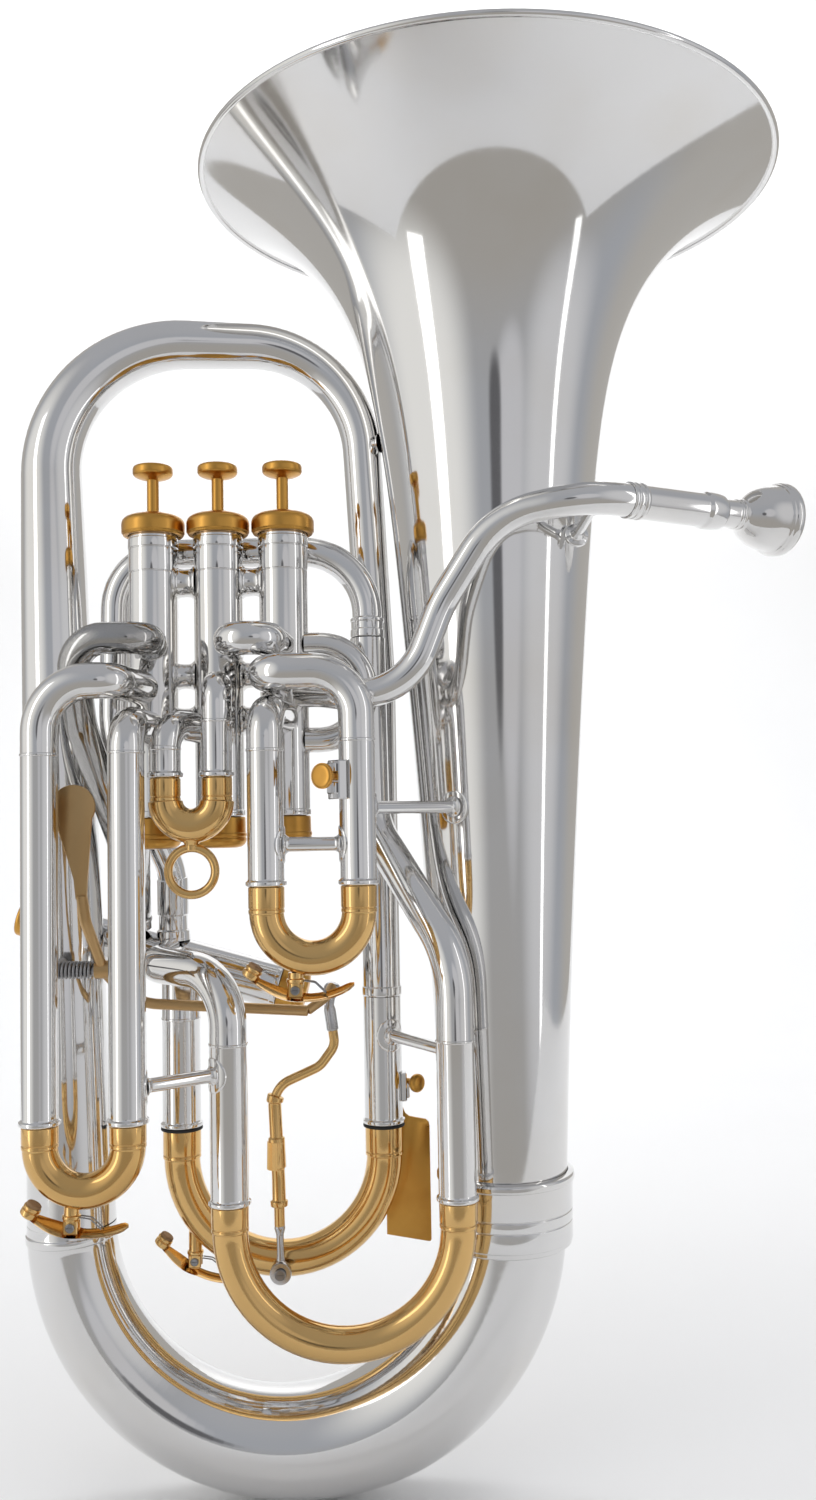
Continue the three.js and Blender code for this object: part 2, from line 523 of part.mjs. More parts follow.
// ---- guard and lyre screw --------------------------------------------------------------------
{
  const guard = plate([[-62.5, 121.8], [-38.6, 117.6], [-38.6, 180], [-40.4, 182.6], [-46, 183.6], [-50.5, 184.8],
    [-53, 189.4], [-54.5, 205], [-62.5, 205]], 1.6, 25.4);
  add("hand_guard", guard, GOLD);
}
{
  const block = new THREE.BoxGeometry(4.8, 9, 18).rotateZ(rad(40)).translate(-79.58, -87.45, 363);
  const screw = lathe([-79.6, -88, 364.5], [-85.1, -96.3, 364.5],
    [[0, 2.2], [9.6, 2.2], [10, 5.7], [12.2, 5.7]], null, 16);
  add("lyre_screw", join(block, screw), GOLD);
}

export default instrument;
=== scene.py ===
import json
import math
from functools import cache

import bmesh
import bpy
from bpy.props import FloatProperty, FloatVectorProperty, IntProperty, PointerProperty
from mathutils import Matrix, Vector

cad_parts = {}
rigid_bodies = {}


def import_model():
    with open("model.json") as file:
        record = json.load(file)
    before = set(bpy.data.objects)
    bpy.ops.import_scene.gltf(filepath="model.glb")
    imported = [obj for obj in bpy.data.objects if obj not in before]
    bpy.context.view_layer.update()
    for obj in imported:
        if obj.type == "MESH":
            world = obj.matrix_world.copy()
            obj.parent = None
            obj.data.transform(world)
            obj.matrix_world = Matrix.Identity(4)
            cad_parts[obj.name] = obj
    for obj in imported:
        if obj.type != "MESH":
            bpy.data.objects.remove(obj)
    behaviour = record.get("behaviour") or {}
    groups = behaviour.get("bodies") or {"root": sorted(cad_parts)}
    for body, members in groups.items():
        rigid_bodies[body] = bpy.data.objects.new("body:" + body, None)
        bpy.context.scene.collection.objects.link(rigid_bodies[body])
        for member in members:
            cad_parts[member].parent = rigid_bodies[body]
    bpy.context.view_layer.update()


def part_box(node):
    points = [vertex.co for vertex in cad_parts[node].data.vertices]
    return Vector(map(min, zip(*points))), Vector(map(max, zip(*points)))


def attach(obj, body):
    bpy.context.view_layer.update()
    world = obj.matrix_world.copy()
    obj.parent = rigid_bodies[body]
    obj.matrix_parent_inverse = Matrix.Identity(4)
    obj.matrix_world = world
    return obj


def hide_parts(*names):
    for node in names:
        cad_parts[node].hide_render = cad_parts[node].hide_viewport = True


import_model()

bl_info = {
    "name": "Euphonium maker",
    "version": (1, 0, 0),
    "blender": (4, 5, 0),
    "location": "View3D > Sidebar > Euphonium",
    "description": "Builds a silver and gold compensating euphonium piece by piece on its frame",
    "category": "Add Mesh",
}

# The bell's axis and the bow's lowest point, taken from the frame. All sizes below are
# millimetres from there: +X to the mouthpiece, -Y to the slides, +Z up the bell.
_lo, _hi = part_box("bell")
BASE = Vector(((_lo[0] + _hi[0]) / 2, (_lo[1] + _hi[1]) / 2, _hi[2] - 0.687))
MM = 0.001
BODY = "instrument"


def at(x, y, z):
    """A point given in those millimetres, in the frame's metres."""
    return BASE + Vector((x, y, z)) * MM


# ---- sizes and colours ----


class EuphoniumSizes(bpy.types.PropertyGroup):
    sides: IntProperty(name="Tube sides", description="Flats round each tube", default=40, min=12)
    bend_step: FloatProperty(
        name="Bend step", description="Degrees between rings in a bend", default=6.0)
    rim_radius: FloatProperty(
        name="Bell rim", description="Bell rim radius, in millimetres", default=152.5)
    taper: FloatProperty(
        name="Bell taper", description="Widening of the bell's cone, in millimetres", default=16.7)
    flare: FloatProperty(
        name="Flare", description="Widening of the flare, in millimetres", default=84.35)
    flare_power: FloatProperty(
        name="Flare power", description="How late and quickly the bell opens", default=12.03)
    bell_sides: IntProperty(name="Bell sides", description="Facets round the bell", default=128)
    knurls: IntProperty(name="Knurls", description="Ridges round a screw head", default=36)


class EuphoniumColours(bpy.types.PropertyGroup):
    silver: FloatVectorProperty(
        name="Silver plate", description="Colour of the silver plate", subtype="COLOR",
        default=(0.77, 0.765, 0.76))
    gold: FloatVectorProperty(
        name="Gold plate", description="Colour of the polished gold plate", subtype="COLOR",
        default=(0.73, 0.47, 0.19))
    satin: FloatVectorProperty(
        name="Satin gold", description="Colour of the valve caps and buttons", subtype="COLOR",
        default=(0.62, 0.33, 0.075))
    steel: FloatVectorProperty(
        name="Steel", description="Colour of springs and screws", subtype="COLOR",
        default=(0.30, 0.30, 0.31))
    cork: FloatVectorProperty(
        name="Cork", description="Colour of the pads", subtype="COLOR", default=(0.33, 0.20, 0.10))
    rubber: FloatVectorProperty(
        name="Rubber", description="Colour of the bumper rings", subtype="COLOR",
        default=(0.012, 0.012, 0.013))
    floor: FloatVectorProperty(
        name="Floor", description="Colour of the floor", subtype="COLOR", default=(0.86, 0.86, 0.86))


def sizes():
    return bpy.context.scene.euphonium_sizes


# ---- finishes ----


def node(nodes, kind, inputs=None, **settings):
    """A new node with its settings and the values of its unlinked inputs."""
    made = nodes.new(kind)
    for name, value in settings.items():
        setattr(made, name, value)
    for name, value in (inputs or {}).items():
        made.inputs[name].default_value = value
    return made


def plating_group():
    """Slow tarnish clouds, fine handling marks and a polishing grain, shared by the metals."""
    tree = bpy.data.node_groups.get("plating marks")
    if tree:
        return tree
    tree = bpy.data.node_groups.new("plating marks", "ShaderNodeTree")
    for name, kind, value in (("Colour", "NodeSocketColor", (0.8, 0.8, 0.8, 1)),
                              ("Tarnish Colour", "NodeSocketColor", (0.6, 0.5, 0.35, 1)),
                              ("Tarnish", "NodeSocketFloat", 0.1),
                              ("Roughness", "NodeSocketFloat", 0.1),
                              ("Marks", "NodeSocketFloat", 0.05),
                              ("Scale", "NodeSocketFloat", 14.0)):
        socket = tree.interface.new_socket(name=name, in_out="INPUT", socket_type=kind)
        socket.default_value = value
    for name, kind in (("Colour", "NodeSocketColor"), ("Roughness", "NodeSocketFloat"),
                       ("Height", "NodeSocketFloat")):
        tree.interface.new_socket(name=name, in_out="OUTPUT", socket_type=kind)
    n, link = tree.nodes, tree.links.new
    given, out = n.new("NodeGroupInput").outputs, n.new("NodeGroupOutput").inputs
    where = n.new("ShaderNodeTexCoord").outputs["Object"]
    clouds = node(n, "ShaderNodeTexNoise", {"Detail": 4})
    link(where, clouds.inputs["Vector"])
    link(given["Scale"], clouds.inputs["Scale"])
    ramp = node(n, "ShaderNodeMapRange", {"From Min": 0.48, "From Max": 0.78})
    link(clouds.outputs["Fac"], ramp.inputs["Value"])
    amount = node(n, "ShaderNodeMath", operation="MULTIPLY")
    link(ramp.outputs["Result"], amount.inputs[0])
    link(given["Tarnish"], amount.inputs[1])
    mix = node(n, "ShaderNodeMix", data_type="RGBA")
    link(amount.outputs[0], mix.inputs["Factor"])
    link(given["Colour"], mix.inputs["A"])
    link(given["Tarnish Colour"], mix.inputs["B"])
    link(mix.outputs["Result"], out["Colour"])
    marks = node(n, "ShaderNodeTexNoise", {"Scale": 160, "Detail": 6})
    link(where, marks.inputs["Vector"])
    spread = node(n, "ShaderNodeMath", operation="MULTIPLY_ADD")
    for i, source in enumerate((marks.outputs["Fac"], given["Marks"], given["Roughness"])):
        link(source, spread.inputs[i])
    link(spread.outputs[0], out["Roughness"])
    link(marks.outputs["Fac"], out["Height"])
    return tree


# name: colour (or its setting), tarnish colour, tarnish, roughness, marks, scale, bump, metallic, slot
FINISHES = {
    "silver plate": ("silver", (0.62, 0.55, 0.44), 0.22, 0.045, 0.05, 14, 0.02, 1, "silver_plate"),
    "gold plate": ("gold", (0.60, 0.34, 0.10), 0.45, 0.09, 0.07, 14, 0.04, 1, "gold_plate"),
    "satin gold": ("satin", (0.40, 0.17, 0.03), 0.5, 0.24, 0.12, 40, 0.12, 1, "satin_gold"),
    "brushed gold": ((0.55, 0.36, 0.17), (0.35, 0.2, 0.08), 0.4, 0.3, 0.1, 30, 0.15, 1, "gold_plate"),
    "dark steel": ("steel", (0.12, 0.1, 0.08), 0.5, 0.22, 0.15, 60, 0.1, 1, "steel"),
    "bright steel": ((0.56, 0.56, 0.57), (0.3, 0.29, 0.28), 0.4, 0.16, 0.12, 50, 0.06, 1, "steel"),
    "cork": ("cork", (0.12, 0.06, 0.03), 0.9, 0.8, 0.15, 420, 0.9, 0, "gold_plate"),
    "black rubber": ("rubber", (0.03, 0.03, 0.03), 0.4, 0.5, 0.2, 60, 0.2, 0, "silver_plate"),
    "pale floor": ("floor", (0.8, 0.8, 0.8), 0.2, 0.7, 0.1, 3, 0.05, 0, None),
}


def finish(name):
    """One of the finishes above, made the first time it is asked for."""
    made = bpy.data.materials.get(name)
    if made:
        return made
    colour, tarnish_colour, *amounts, bump, metallic, _ = FINISHES[name]
    if isinstance(colour, str):
        colour = getattr(bpy.context.scene.euphonium_colours, colour)
    made = bpy.data.materials.new(name)
    made.use_nodes = True
    made.diffuse_color = (*colour, 1)
    n, link = made.node_tree.nodes, made.node_tree.links.new
    shader = n["Principled BSDF"]
    shader.inputs["Metallic"].default_value = metallic
    values = ((*colour, 1), (*tarnish_colour, 1), *amounts)
    labels = ("Colour", "Tarnish Colour", "Tarnish", "Roughness", "Marks", "Scale")
    group = node(n, "ShaderNodeGroup", node_tree=plating_group())
    for label, value in zip(labels, values):
        group.inputs[label].default_value = value
    link(group.outputs["Colour"], shader.inputs["Base Color"])
    link(group.outputs["Roughness"], shader.inputs["Roughness"])
    bumped = node(n, "ShaderNodeBump", {"Strength": bump, "Distance": 0.0002})
    link(group.outputs["Height"], bumped.inputs["Height"])
    link(bumped.outputs["Normal"], shader.inputs["Normal"])
    return made


# ---- centre lines ----


class Line:
    """Straight stretches and round bends through points (x, y, z[, bend radius])."""

    def __init__(self, points, step=None):
        step = step or sizes().bend_step
        self.legs, self.marks, self.length = [], [0.0], 0.0
        here = Vector(points[0][:3])
        for i in range(1, len(points)):
            corner = Vector(points[i][:3])
            radius = points[i][3] if len(points[i]) > 3 else 0
            if not radius or i == len(points) - 1:
                self._leg({"start": here, "way": (corner - here).normalized()},
                          (corner - here).length, 1)
                here = corner
                continue
            into = (corner - Vector(points[i - 1][:3])).normalized()
            out = (Vector(points[i + 1][:3]) - corner).normalized()
            turn = into.angle(out)
            back = radius * math.tan(turn / 2)
            start = corner - into * back
            if (start - here).dot(into) > 1e-6:
                self._leg({"start": here, "way": into}, (start - here).length, 1)
            side = (out - into * out.dot(into)).normalized()
            self._leg({"centre": start + side * radius, "into": into, "side": side,
                       "radius": radius}, radius * turn,
                      max(3, math.ceil(math.degrees(turn) / step)))
            here = corner + out * back

    def _leg(self, leg, length, cuts):
        leg["at"] = self.length
        self.legs.append(leg)
        for k in range(1, cuts + 1):
            self.marks.append(self.length + length * k / cuts)
        self.length += length

    def place(self, s):
        """The point and the direction at a distance along the line."""
        leg = next((one for one in reversed(self.legs) if one["at"] <= s + 1e-9), self.legs[0])
        t = s - leg["at"]
        if "way" in leg:
            return leg["start"] + leg["way"] * t, leg["way"]
        a = t / leg["radius"]
        point = (leg["centre"] - leg["side"] * leg["radius"] * math.cos(a)
                 + leg["into"] * leg["radius"] * math.sin(a))
        return point, leg["into"] * math.cos(a) + leg["side"] * math.sin(a)


def softened(profile, radius):
    """Rounds the corners of a turned profile, as a polisher's wheel does."""
    out = [profile[0]]
    for i in range(1, len(profile) - 1):
        p, a, b = (Vector(profile[k]) for k in (i, i - 1, i + 1))
        to_a, to_b = a - p, b - p
        if to_a.length < 1e-6 or to_b.length < 1e-6:
            out.append(profile[i])
            continue
        bend = math.pi - to_a.angle(to_b)
        if bend < math.radians(14):
            out.append(profile[i])
            continue
        cut = min(radius, to_a.length * 0.45, to_b.length * 0.45)
        one, two = p + to_a.normalized() * cut, p + to_b.normalized() * cut
        for t in (0, 1 / 3, 2 / 3, 1):
            q = one * (1 - t) ** 2 + p * 2 * t * (1 - t) + two * t * t
            out.append((q.x, q.y))
    out.append(profile[-1])
    return out


def finish_piece(obj, body=BODY, replaces=None, angle=32):
    """Edges, body and hidden frame piece of a finished piece."""
    obj.data.shade_smooth()
    obj.data.set_sharp_from_angle(angle=math.radians(angle))
    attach(obj, body)
    if replaces:
        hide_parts(replaces)
    return obj


def make(name, shell, metal, body=BODY, replaces=None):
    """A finished piece from its points and faces."""
    verts, faces = shell
    mesh = bpy.data.meshes.new(name)
    mesh.from_pydata([tuple(v) for v in verts], [], faces)
    mesh.validate()
    mesh.materials.append(metal)
    obj = bpy.data.objects.new(name, mesh)
    bpy.context.scene.collection.objects.link(obj)
    return finish_piece(obj, body, replaces)


def skin(rows, sides, flip=False, loop=False):
    """Faces over rings of points: round again to the first ring, or a flat end at each side."""
    faces = []
    for j in range(rows if loop else rows - 1):
        a, b = j * sides, (j + 1) % rows * sides
        for k in range(sides):
            m = (k + 1) % sides
            faces.append((a + k, b + k, b + m, a + m) if flip else (a + k, a + m, b + m, b + k))
    if not loop:
        first, last = tuple(range(sides)), tuple(range((rows - 1) * sides, rows * sides))
        faces += [first, last[::-1]] if flip else [first[::-1], last]
    return faces


def turned(line, outside, inside=None, sides=None, soft=0.35):
    """Verts and faces of a turned piece carried along a centre line."""
    sides = sides or sizes().sides

    def filled(pairs):
        every = []
        for i, (s, r) in enumerate(pairs):
            if i:
                s0, r0 = pairs[i - 1]
                every += [(m, r0 + (r - r0) * (m - s0) / (s - s0))
                          for m in line.marks if s0 + 0.05 < m < s - 0.05]
            every.append((s, r))
        return every

    wall = filled(softened([(s, r) for s, r in outside], soft))
    bore = filled(list(inside))[::-1] if inside else []
    ring_list = wall + bore
    places, side = {}, None
    for s in sorted({s for s, _ in ring_list}):
        point, way = line.place(s)
        if side is None:
            side = Vector((1, 0, 0) if abs(way.y) > 0.9 else (0, 1, 0))
        side = (side - way * side.dot(way)).normalized()
        places[s] = (point, side.copy(), side.cross(way))
    verts = []
    for s, r in ring_list:
        point, one, two = places[s]
        for k in range(sides):
            a = 2 * math.pi * k / sides
            verts.append(at(*(point + one * (r * math.sin(a)) + two * (r * math.cos(a)))))
    return verts, skin(len(ring_list), sides, loop=bool(inside))


def merge(*shells):
    """Several closed shells as one."""
    verts, faces = [], []
    for v, f in shells:
        base = len(verts)
        verts += v
        faces += [tuple(i + base for i in face) for face in f]
    return verts, faces


def tube(points, outer, inner, beads=()):
    """Plain tube with raised beads (distance, width, height) along it."""
    line = Line(points)
    out = [(0, outer)]
    for s, width, height in sorted(beads):
        s = s if s >= 0 else line.length + s
        out += [(s, outer), (s + 0.15, outer + height), (s + width - 0.15, outer + height),
                (s + width, outer)]
    out.append((line.length, outer))
    out = [p for i, p in enumerate(out) if i == 0 or p[0] > out[i - 1][0] + 1e-6]
    return turned(line, out, [(0, inner), (line.length, inner)])


def rod(points, radius, sides=20, step=12):
    """Solid wire or rod with softened ends."""
    line = Line(points, step)
    soft = min(0.5, radius * 0.3)
    end = line.length
    return turned(line, [(0, radius - soft), (soft, radius), (end - soft, radius),
                         (end, radius - soft)], None, sides, soft * 0.5)


def lathe(start, towards, outside, inside=None, sides=48, soft=0.35):
    """Straight turned piece: (distance along, radius) pairs outside and, if bored, inside."""
    way = (Vector(towards) - Vector(start)).normalized()
    return turned(Line([start, tuple(Vector(start) + way * 400)]), outside, inside, sides, soft)


def flanged_rod(start, end, radius, flange):
    """Brace between two tubes, with a small round flange at each end."""
    a, b = Vector(start), Vector(end)
    n = (b - a).length
    return lathe(start, end, [(0, flange), (0.7, flange), (1.6, radius + 0.6), (2.6, radius),
                              (n - 2.6, radius), (n - 1.6, radius + 0.6), (n - 0.7, flange),
                              (n, flange)], None, 28, 0.5)


def saddle(centre, outward, tube_r):
    """Thin round plate wrapped on an upright tube, where a brace is soldered to it."""
    radius, thick, sides = 8.6, 0.55, 36
    u, n = Vector((0, 0, 1)), Vector(outward)
    n = (n - u * n.dot(u)).normalized()
    t, c = u.cross(n), Vector(centre)
    rows = [(0.04, thick), (0.5, thick), (0.86, thick), (0.95, thick * 0.8), (1.0, thick * 0.2),
            (1.0, -0.15), (0.5, -0.15), (0.04, -0.15)]
    verts = []
    for part, lift in rows:
        for k in range(sides):
            a = math.tau * k / sides
            along_it, round_it = radius * part * math.cos(a), radius * part * math.sin(a) / tube_r
            verts.append(at(*(c + u * along_it + (n * math.cos(round_it) + t * math.sin(round_it))
                              * (tube_r + lift))))
    return verts, skin(len(rows), sides, flip=True)


def plate(outline, thick, y0, soft):
    """Plate drawn in XZ with rounded edges, its thickness along Y from y0."""
    n = len(outline)
    centre = Vector((sum(x for x, _ in outline) / n, sum(z for _, z in outline) / n))
    verts = []
    for inset, y in ((soft, y0), (soft * 0.3, y0 + soft * 0.3), (0, y0 + soft),
                     (0, y0 + thick - soft), (soft * 0.3, y0 + thick - soft * 0.3),
                     (soft, y0 + thick)):
        for x, z in outline:
            p = Vector((x, z)) + (centre - Vector((x, z))).normalized() * inset
            verts.append(at(p.x, y, p.y))
    area = sum(outline[i][0] * outline[(i + 1) % n][1] - outline[(i + 1) % n][0] * outline[i][1]
               for i in range(n))
    return verts, skin(6, n, flip=area <= 0)


def boxes(blocks):
    """Small blocks with chamfered edges: (centre, turn about Z in degrees, size)."""
    shells = []
    for centre, turn, size in blocks:
        spin, c = Matrix.Rotation(math.radians(turn), 3, "Z"), Vector(centre)
        x, y, z = (v / 2 for v in size)
        e = min(0.5, x * 0.4)
        verts = []
        for dx, dy, dz in ((x - e, y - e, z), (x - e, y, z - e), (x, y - e, z - e)):
            for sx, sy, sz in ((1, 1, 1), (-1, 1, 1), (-1, -1, 1), (1, -1, 1),
                               (1, 1, -1), (-1, 1, -1), (-1, -1, -1), (1, -1, -1)):
                verts.append(c + spin @ Vector((dx * sx, dy * sy, dz * sz)))
        shells.append(hull(verts))
    return merge(*shells)


def hull(points):
    """Closed shell round a few points."""
    net = bmesh.new()
    for p in points:
        net.verts.new(p)
    bmesh.ops.convex_hull(net, input=net.verts)
    bmesh.ops.dissolve_limit(net, angle_limit=0.01, verts=net.verts, edges=net.edges)
    bmesh.ops.recalc_face_normals(net, faces=net.faces)
    net.verts.index_update()
    shell = [at(*v.co) for v in net.verts], [tuple(v.index for v in f.verts) for f in net.faces]
    net.free()
    return shell


# ---- node trees that make shapes ----


class Tree:
    """Small helper that builds a shape tree with named inputs."""

    def __init__(self, name, inputs):
        self.tree = bpy.data.node_groups.new(name, "GeometryNodeTree")
        face = self.tree.interface
        socket = face.new_socket(name="Material", in_out="INPUT", socket_type="NodeSocketMaterial")
        self.ids = {"Material": socket.identifier}
        for label, value in inputs:
            kind = "NodeSocketInt" if isinstance(value, int) else "NodeSocketFloat"
            socket = face.new_socket(name=label, in_out="INPUT", socket_type=kind)
            socket.default_value = value
            self.ids[label] = socket.identifier
        face.new_socket(name="Geometry", in_out="OUTPUT", socket_type="NodeSocketGeometry")
        self.n, self.link = self.tree.nodes, self.tree.links.new
        self.given = self.n.new("NodeGroupInput")
        self.out = self.n.new("NodeGroupOutput")

    def of(self, label):
        return self.given.outputs[label]

    def node(self, kind, values=None, **settings):
        """A node whose inputs are numbers, or the outputs that they are linked to."""
        made = node(self.n, kind, **settings)
        for name, value in (values or {}).items():
            if isinstance(value, (int, float)):
                made.inputs[name].default_value = value
            else:
                self.link(value, made.inputs[name])
        return made

    def calc(self, kind, *values):
        return self.node("ShaderNodeMath", dict(enumerate(values)), operation=kind).outputs[0]

    def close(self, geometry):
        real = self.node("GeometryNodeRealizeInstances", {"Geometry": geometry})
        paint = self.node("GeometryNodeSetMaterial", {"Geometry": real.outputs["Geometry"],
                                                      "Material": self.of("Material")})
        self.link(paint.outputs["Geometry"], self.out.inputs["Geometry"])
        return self

    def bake(self, name, metal, values):
        """Runs the tree once on an empty mesh and keeps the plain result."""
        holder = bpy.data.objects.new(name, bpy.data.meshes.new(name + " seed"))
        bpy.context.scene.collection.objects.link(holder)
        mod = holder.modifiers.new("shape", "NODES")
        mod.node_group = self.tree
        for label, value in values.items():
            mod[self.ids[label]] = value
        mod[self.ids["Material"]] = metal
        holder.update_tag()
        deps = bpy.context.evaluated_depsgraph_get()
        mesh = bpy.data.meshes.new_from_object(holder.evaluated_get(deps))
        holder.modifiers.clear()
        seed = holder.data
        holder.data = mesh
        mesh.name = name
        bpy.data.meshes.remove(seed)
        return holder


@cache
def horn_tree():
    """A bell by a horn law: a cone, plus a shoulder and a flare that grow as powers of height."""
    t = Tree("horn law bell", (("Sides", 128), ("Rings", 240), ("Foot Height", 0.146),
                               ("Rim Height", 0.6848), ("Law Height", 0.5405),
                               ("Foot Radius", 0.03144), ("Taper", 0.0167),
                               ("Shoulder", 0.02108), ("Shoulder Power", 1.673),
                               ("Flare", 0.08435), ("Flare Power", 12.03), ("Wall", 0.0008)))
    grid = t.node("GeometryNodeMeshGrid", {
        "Size X": 1, "Size Y": 1, "Vertices X": t.of("Rings"),
        "Vertices Y": t.calc("ADD", t.of("Sides"), 1)})
    where = t.node("GeometryNodeInputPosition")
    part = t.node("ShaderNodeSeparateXYZ", {0: where.outputs[0]})
    along = t.calc("ADD", part.outputs[0], 0.5)
    turn = t.calc("MULTIPLY", t.calc("ADD", part.outputs[1], 0.5), math.tau)
    # one trip up the outside (0 to a half) and back down the inside (a half to one)
    fold = t.calc("SUBTRACT", 1, t.calc("ABSOLUTE", t.calc("MULTIPLY_ADD", along, 2, -1)))
    ease = t.calc("SUBTRACT", 1, t.calc("POWER", t.calc("SUBTRACT", 1, fold), 1.9))
    span = t.calc("SUBTRACT", t.of("Rim Height"), t.of("Foot Height"))
    rise = t.calc("MULTIPLY", ease, span)
    share = t.calc("DIVIDE", rise, t.of("Law Height"))
    cone = t.calc("MULTIPLY_ADD", share, t.of("Taper"), t.of("Foot Radius"))
    shoulder = t.calc("MULTIPLY", t.calc("POWER", share, t.of("Shoulder Power")), t.of("Shoulder"))
    steep = t.calc("POWER", share, t.of("Flare Power"))
    radius = t.calc("ADD", t.calc("ADD", cone, shoulder), t.calc("MULTIPLY", steep, t.of("Flare")))
    inner = t.calc("GREATER_THAN", along, 0.5)
    radius = t.calc("SUBTRACT", radius, t.calc("MULTIPLY", inner, t.of("Wall")))
    height = t.calc("ADD", rise, t.of("Foot Height"))
    height = t.calc("ADD", height, t.calc("MULTIPLY", inner, t.calc("MULTIPLY", steep, 0.0006)))
    spot = t.node("ShaderNodeCombineXYZ", {0: t.calc("MULTIPLY", radius, t.calc("COSINE", turn)),
                                           1: t.calc("MULTIPLY", radius, t.calc("SINE", turn)),
                                           2: height})
    move = t.node("GeometryNodeSetPosition", {"Geometry": grid.outputs["Mesh"],
                                              "Position": spot.outputs[0]})
    weld = t.node("GeometryNodeMergeByDistance", {"Geometry": move.outputs["Geometry"],
                                                  "Distance": 0.00002})
    flip = t.node("GeometryNodeFlipFaces", {"Mesh": weld.outputs["Geometry"]})
    return t.close(flip.outputs["Mesh"])


@cache
def coil_tree():
    """A wire coil from its radius, wire, length and turns."""
    t = Tree("wire coil", (("Radius", 0.004), ("Wire", 0.0008), ("Length", 0.017),
                           ("Turns", 8.0), ("Steps", 28)))
    spiral = t.node("GeometryNodeCurveSpiral", {
        "Resolution": t.of("Steps"), "Rotations": t.of("Turns"), "Start Radius": t.of("Radius"),
        "End Radius": t.of("Radius"), "Height": t.of("Length")})
    ring = t.node("GeometryNodeCurvePrimitiveCircle", {"Resolution": 10, "Radius": t.of("Wire")})
    sweep = t.node("GeometryNodeCurveToMesh", {
        "Fill Caps": True, "Curve": spiral.outputs["Curve"], "Profile Curve": ring.outputs["Curve"]})
    return t.close(sweep.outputs["Mesh"])


@cache
def knurl_tree():
    """Ridges set round a circle, for a screw head or an adjusting coupling."""
    t = Tree("knurled edge", (("Radius", 0.006), ("Count", 36), ("Height", 0.0024),
                              ("Ridge", 0.0005)))
    ring = t.node("GeometryNodeMeshCircle", {"Vertices": t.of("Count"), "Radius": t.of("Radius")})
    ridge = t.node("GeometryNodeMeshCylinder", {
        "Vertices": 6, "Radius": t.of("Ridge"), "Depth": t.of("Height")})
    set_on = t.node("GeometryNodeInstanceOnPoints", {
        "Points": ring.outputs["Mesh"], "Instance": ridge.outputs["Mesh"]})
    return t.close(set_on.outputs["Instances"])


def carried(obj, origin, way):
    """Moves a baked shape, made along +Z at the origin, to its place in the mesh itself."""
    turn = Vector(way).normalized().to_track_quat("Z", "Y").to_matrix().to_4x4()
    obj.data.transform(Matrix.Translation(at(*origin)) @ turn)
    return obj


def coil(name, origin, way, radius, wire, length, turns, replaces):
    """Steel spring from its start along a direction."""
    metal = finish("dark steel")
    obj = coil_tree().bake(name, metal, {
        "Radius": radius * MM, "Wire": wire * MM, "Length": length * MM, "Turns": float(turns)})
    return finish_piece(carried(obj, origin, way), BODY, replaces, 60)


def knurl(name, origin, way, radius, height, metal, body=BODY, ridge=0.45):
    """Ring of ridges centred on a point, round a direction."""
    obj = knurl_tree().bake(name, metal, {
        "Radius": radius * MM, "Count": sizes().knurls, "Height": height * MM, "Ridge": ridge * MM})
    return finish_piece(carried(obj, origin, way), body, None, 30)


# ---- bell and large branches ----

BOW_SPAN, BOW_Z = 225, 139.5


class EUPH_OT_bell(bpy.types.Operator):
    """Make the bell by the horn law, its rolled rim and the garland at its foot"""
    bl_idname = "euphonium.bell"
    bl_label = "Bell"

    def execute(self, context):
        s, silver = sizes(), finish("silver plate")
        bell = horn_tree().bake("bell_flare", silver, {
            "Sides": s.bell_sides, "Taper": s.taper * MM, "Flare": s.flare * MM,
            "Flare Power": s.flare_power})
        bell.data.transform(Matrix.Translation(BASE))
        finish_piece(bell, BODY, "bell", 50)
        turn, rings = s.bell_sides, 16
        verts = []
        for k in range(turn):
            a = math.tau * k / turn
            for j in range(rings):
                b = math.tau * j / rings
                r = s.rim_radius - 1.1 + 1.75 * math.cos(b)
                verts.append(at(r * math.cos(a), r * math.sin(a), 685.25 + 1.7 * math.sin(b)))
        make("bell_rim_wire", (verts, skin(turn, rings, flip=True, loop=True)), silver)
        garland = lathe((0, 0, 126), (0, 0, 200),
                        [(0, 32.4), (0.8, 33.6), (2.8, 33.6), (3.1, 34.2), (12.4, 34.2),
                         (12.6, 33.95), (13.0, 33.95), (13.2, 34.25), (17.8, 34.3), (18, 34.0),
                         (18.5, 34.0), (18.7, 34.35), (32.2, 34.5), (32.6, 35.3), (33.4, 35.6),
                         (35.4, 35.6), (36.4, 35.2), (37, 33.4)],
                        [(0, 31.2), (20, 31.2), (37, 32.4)], 128, 0.3)
        make("garland_band", garland, silver, replaces="bell_garland")
        return {"FINISHED"}


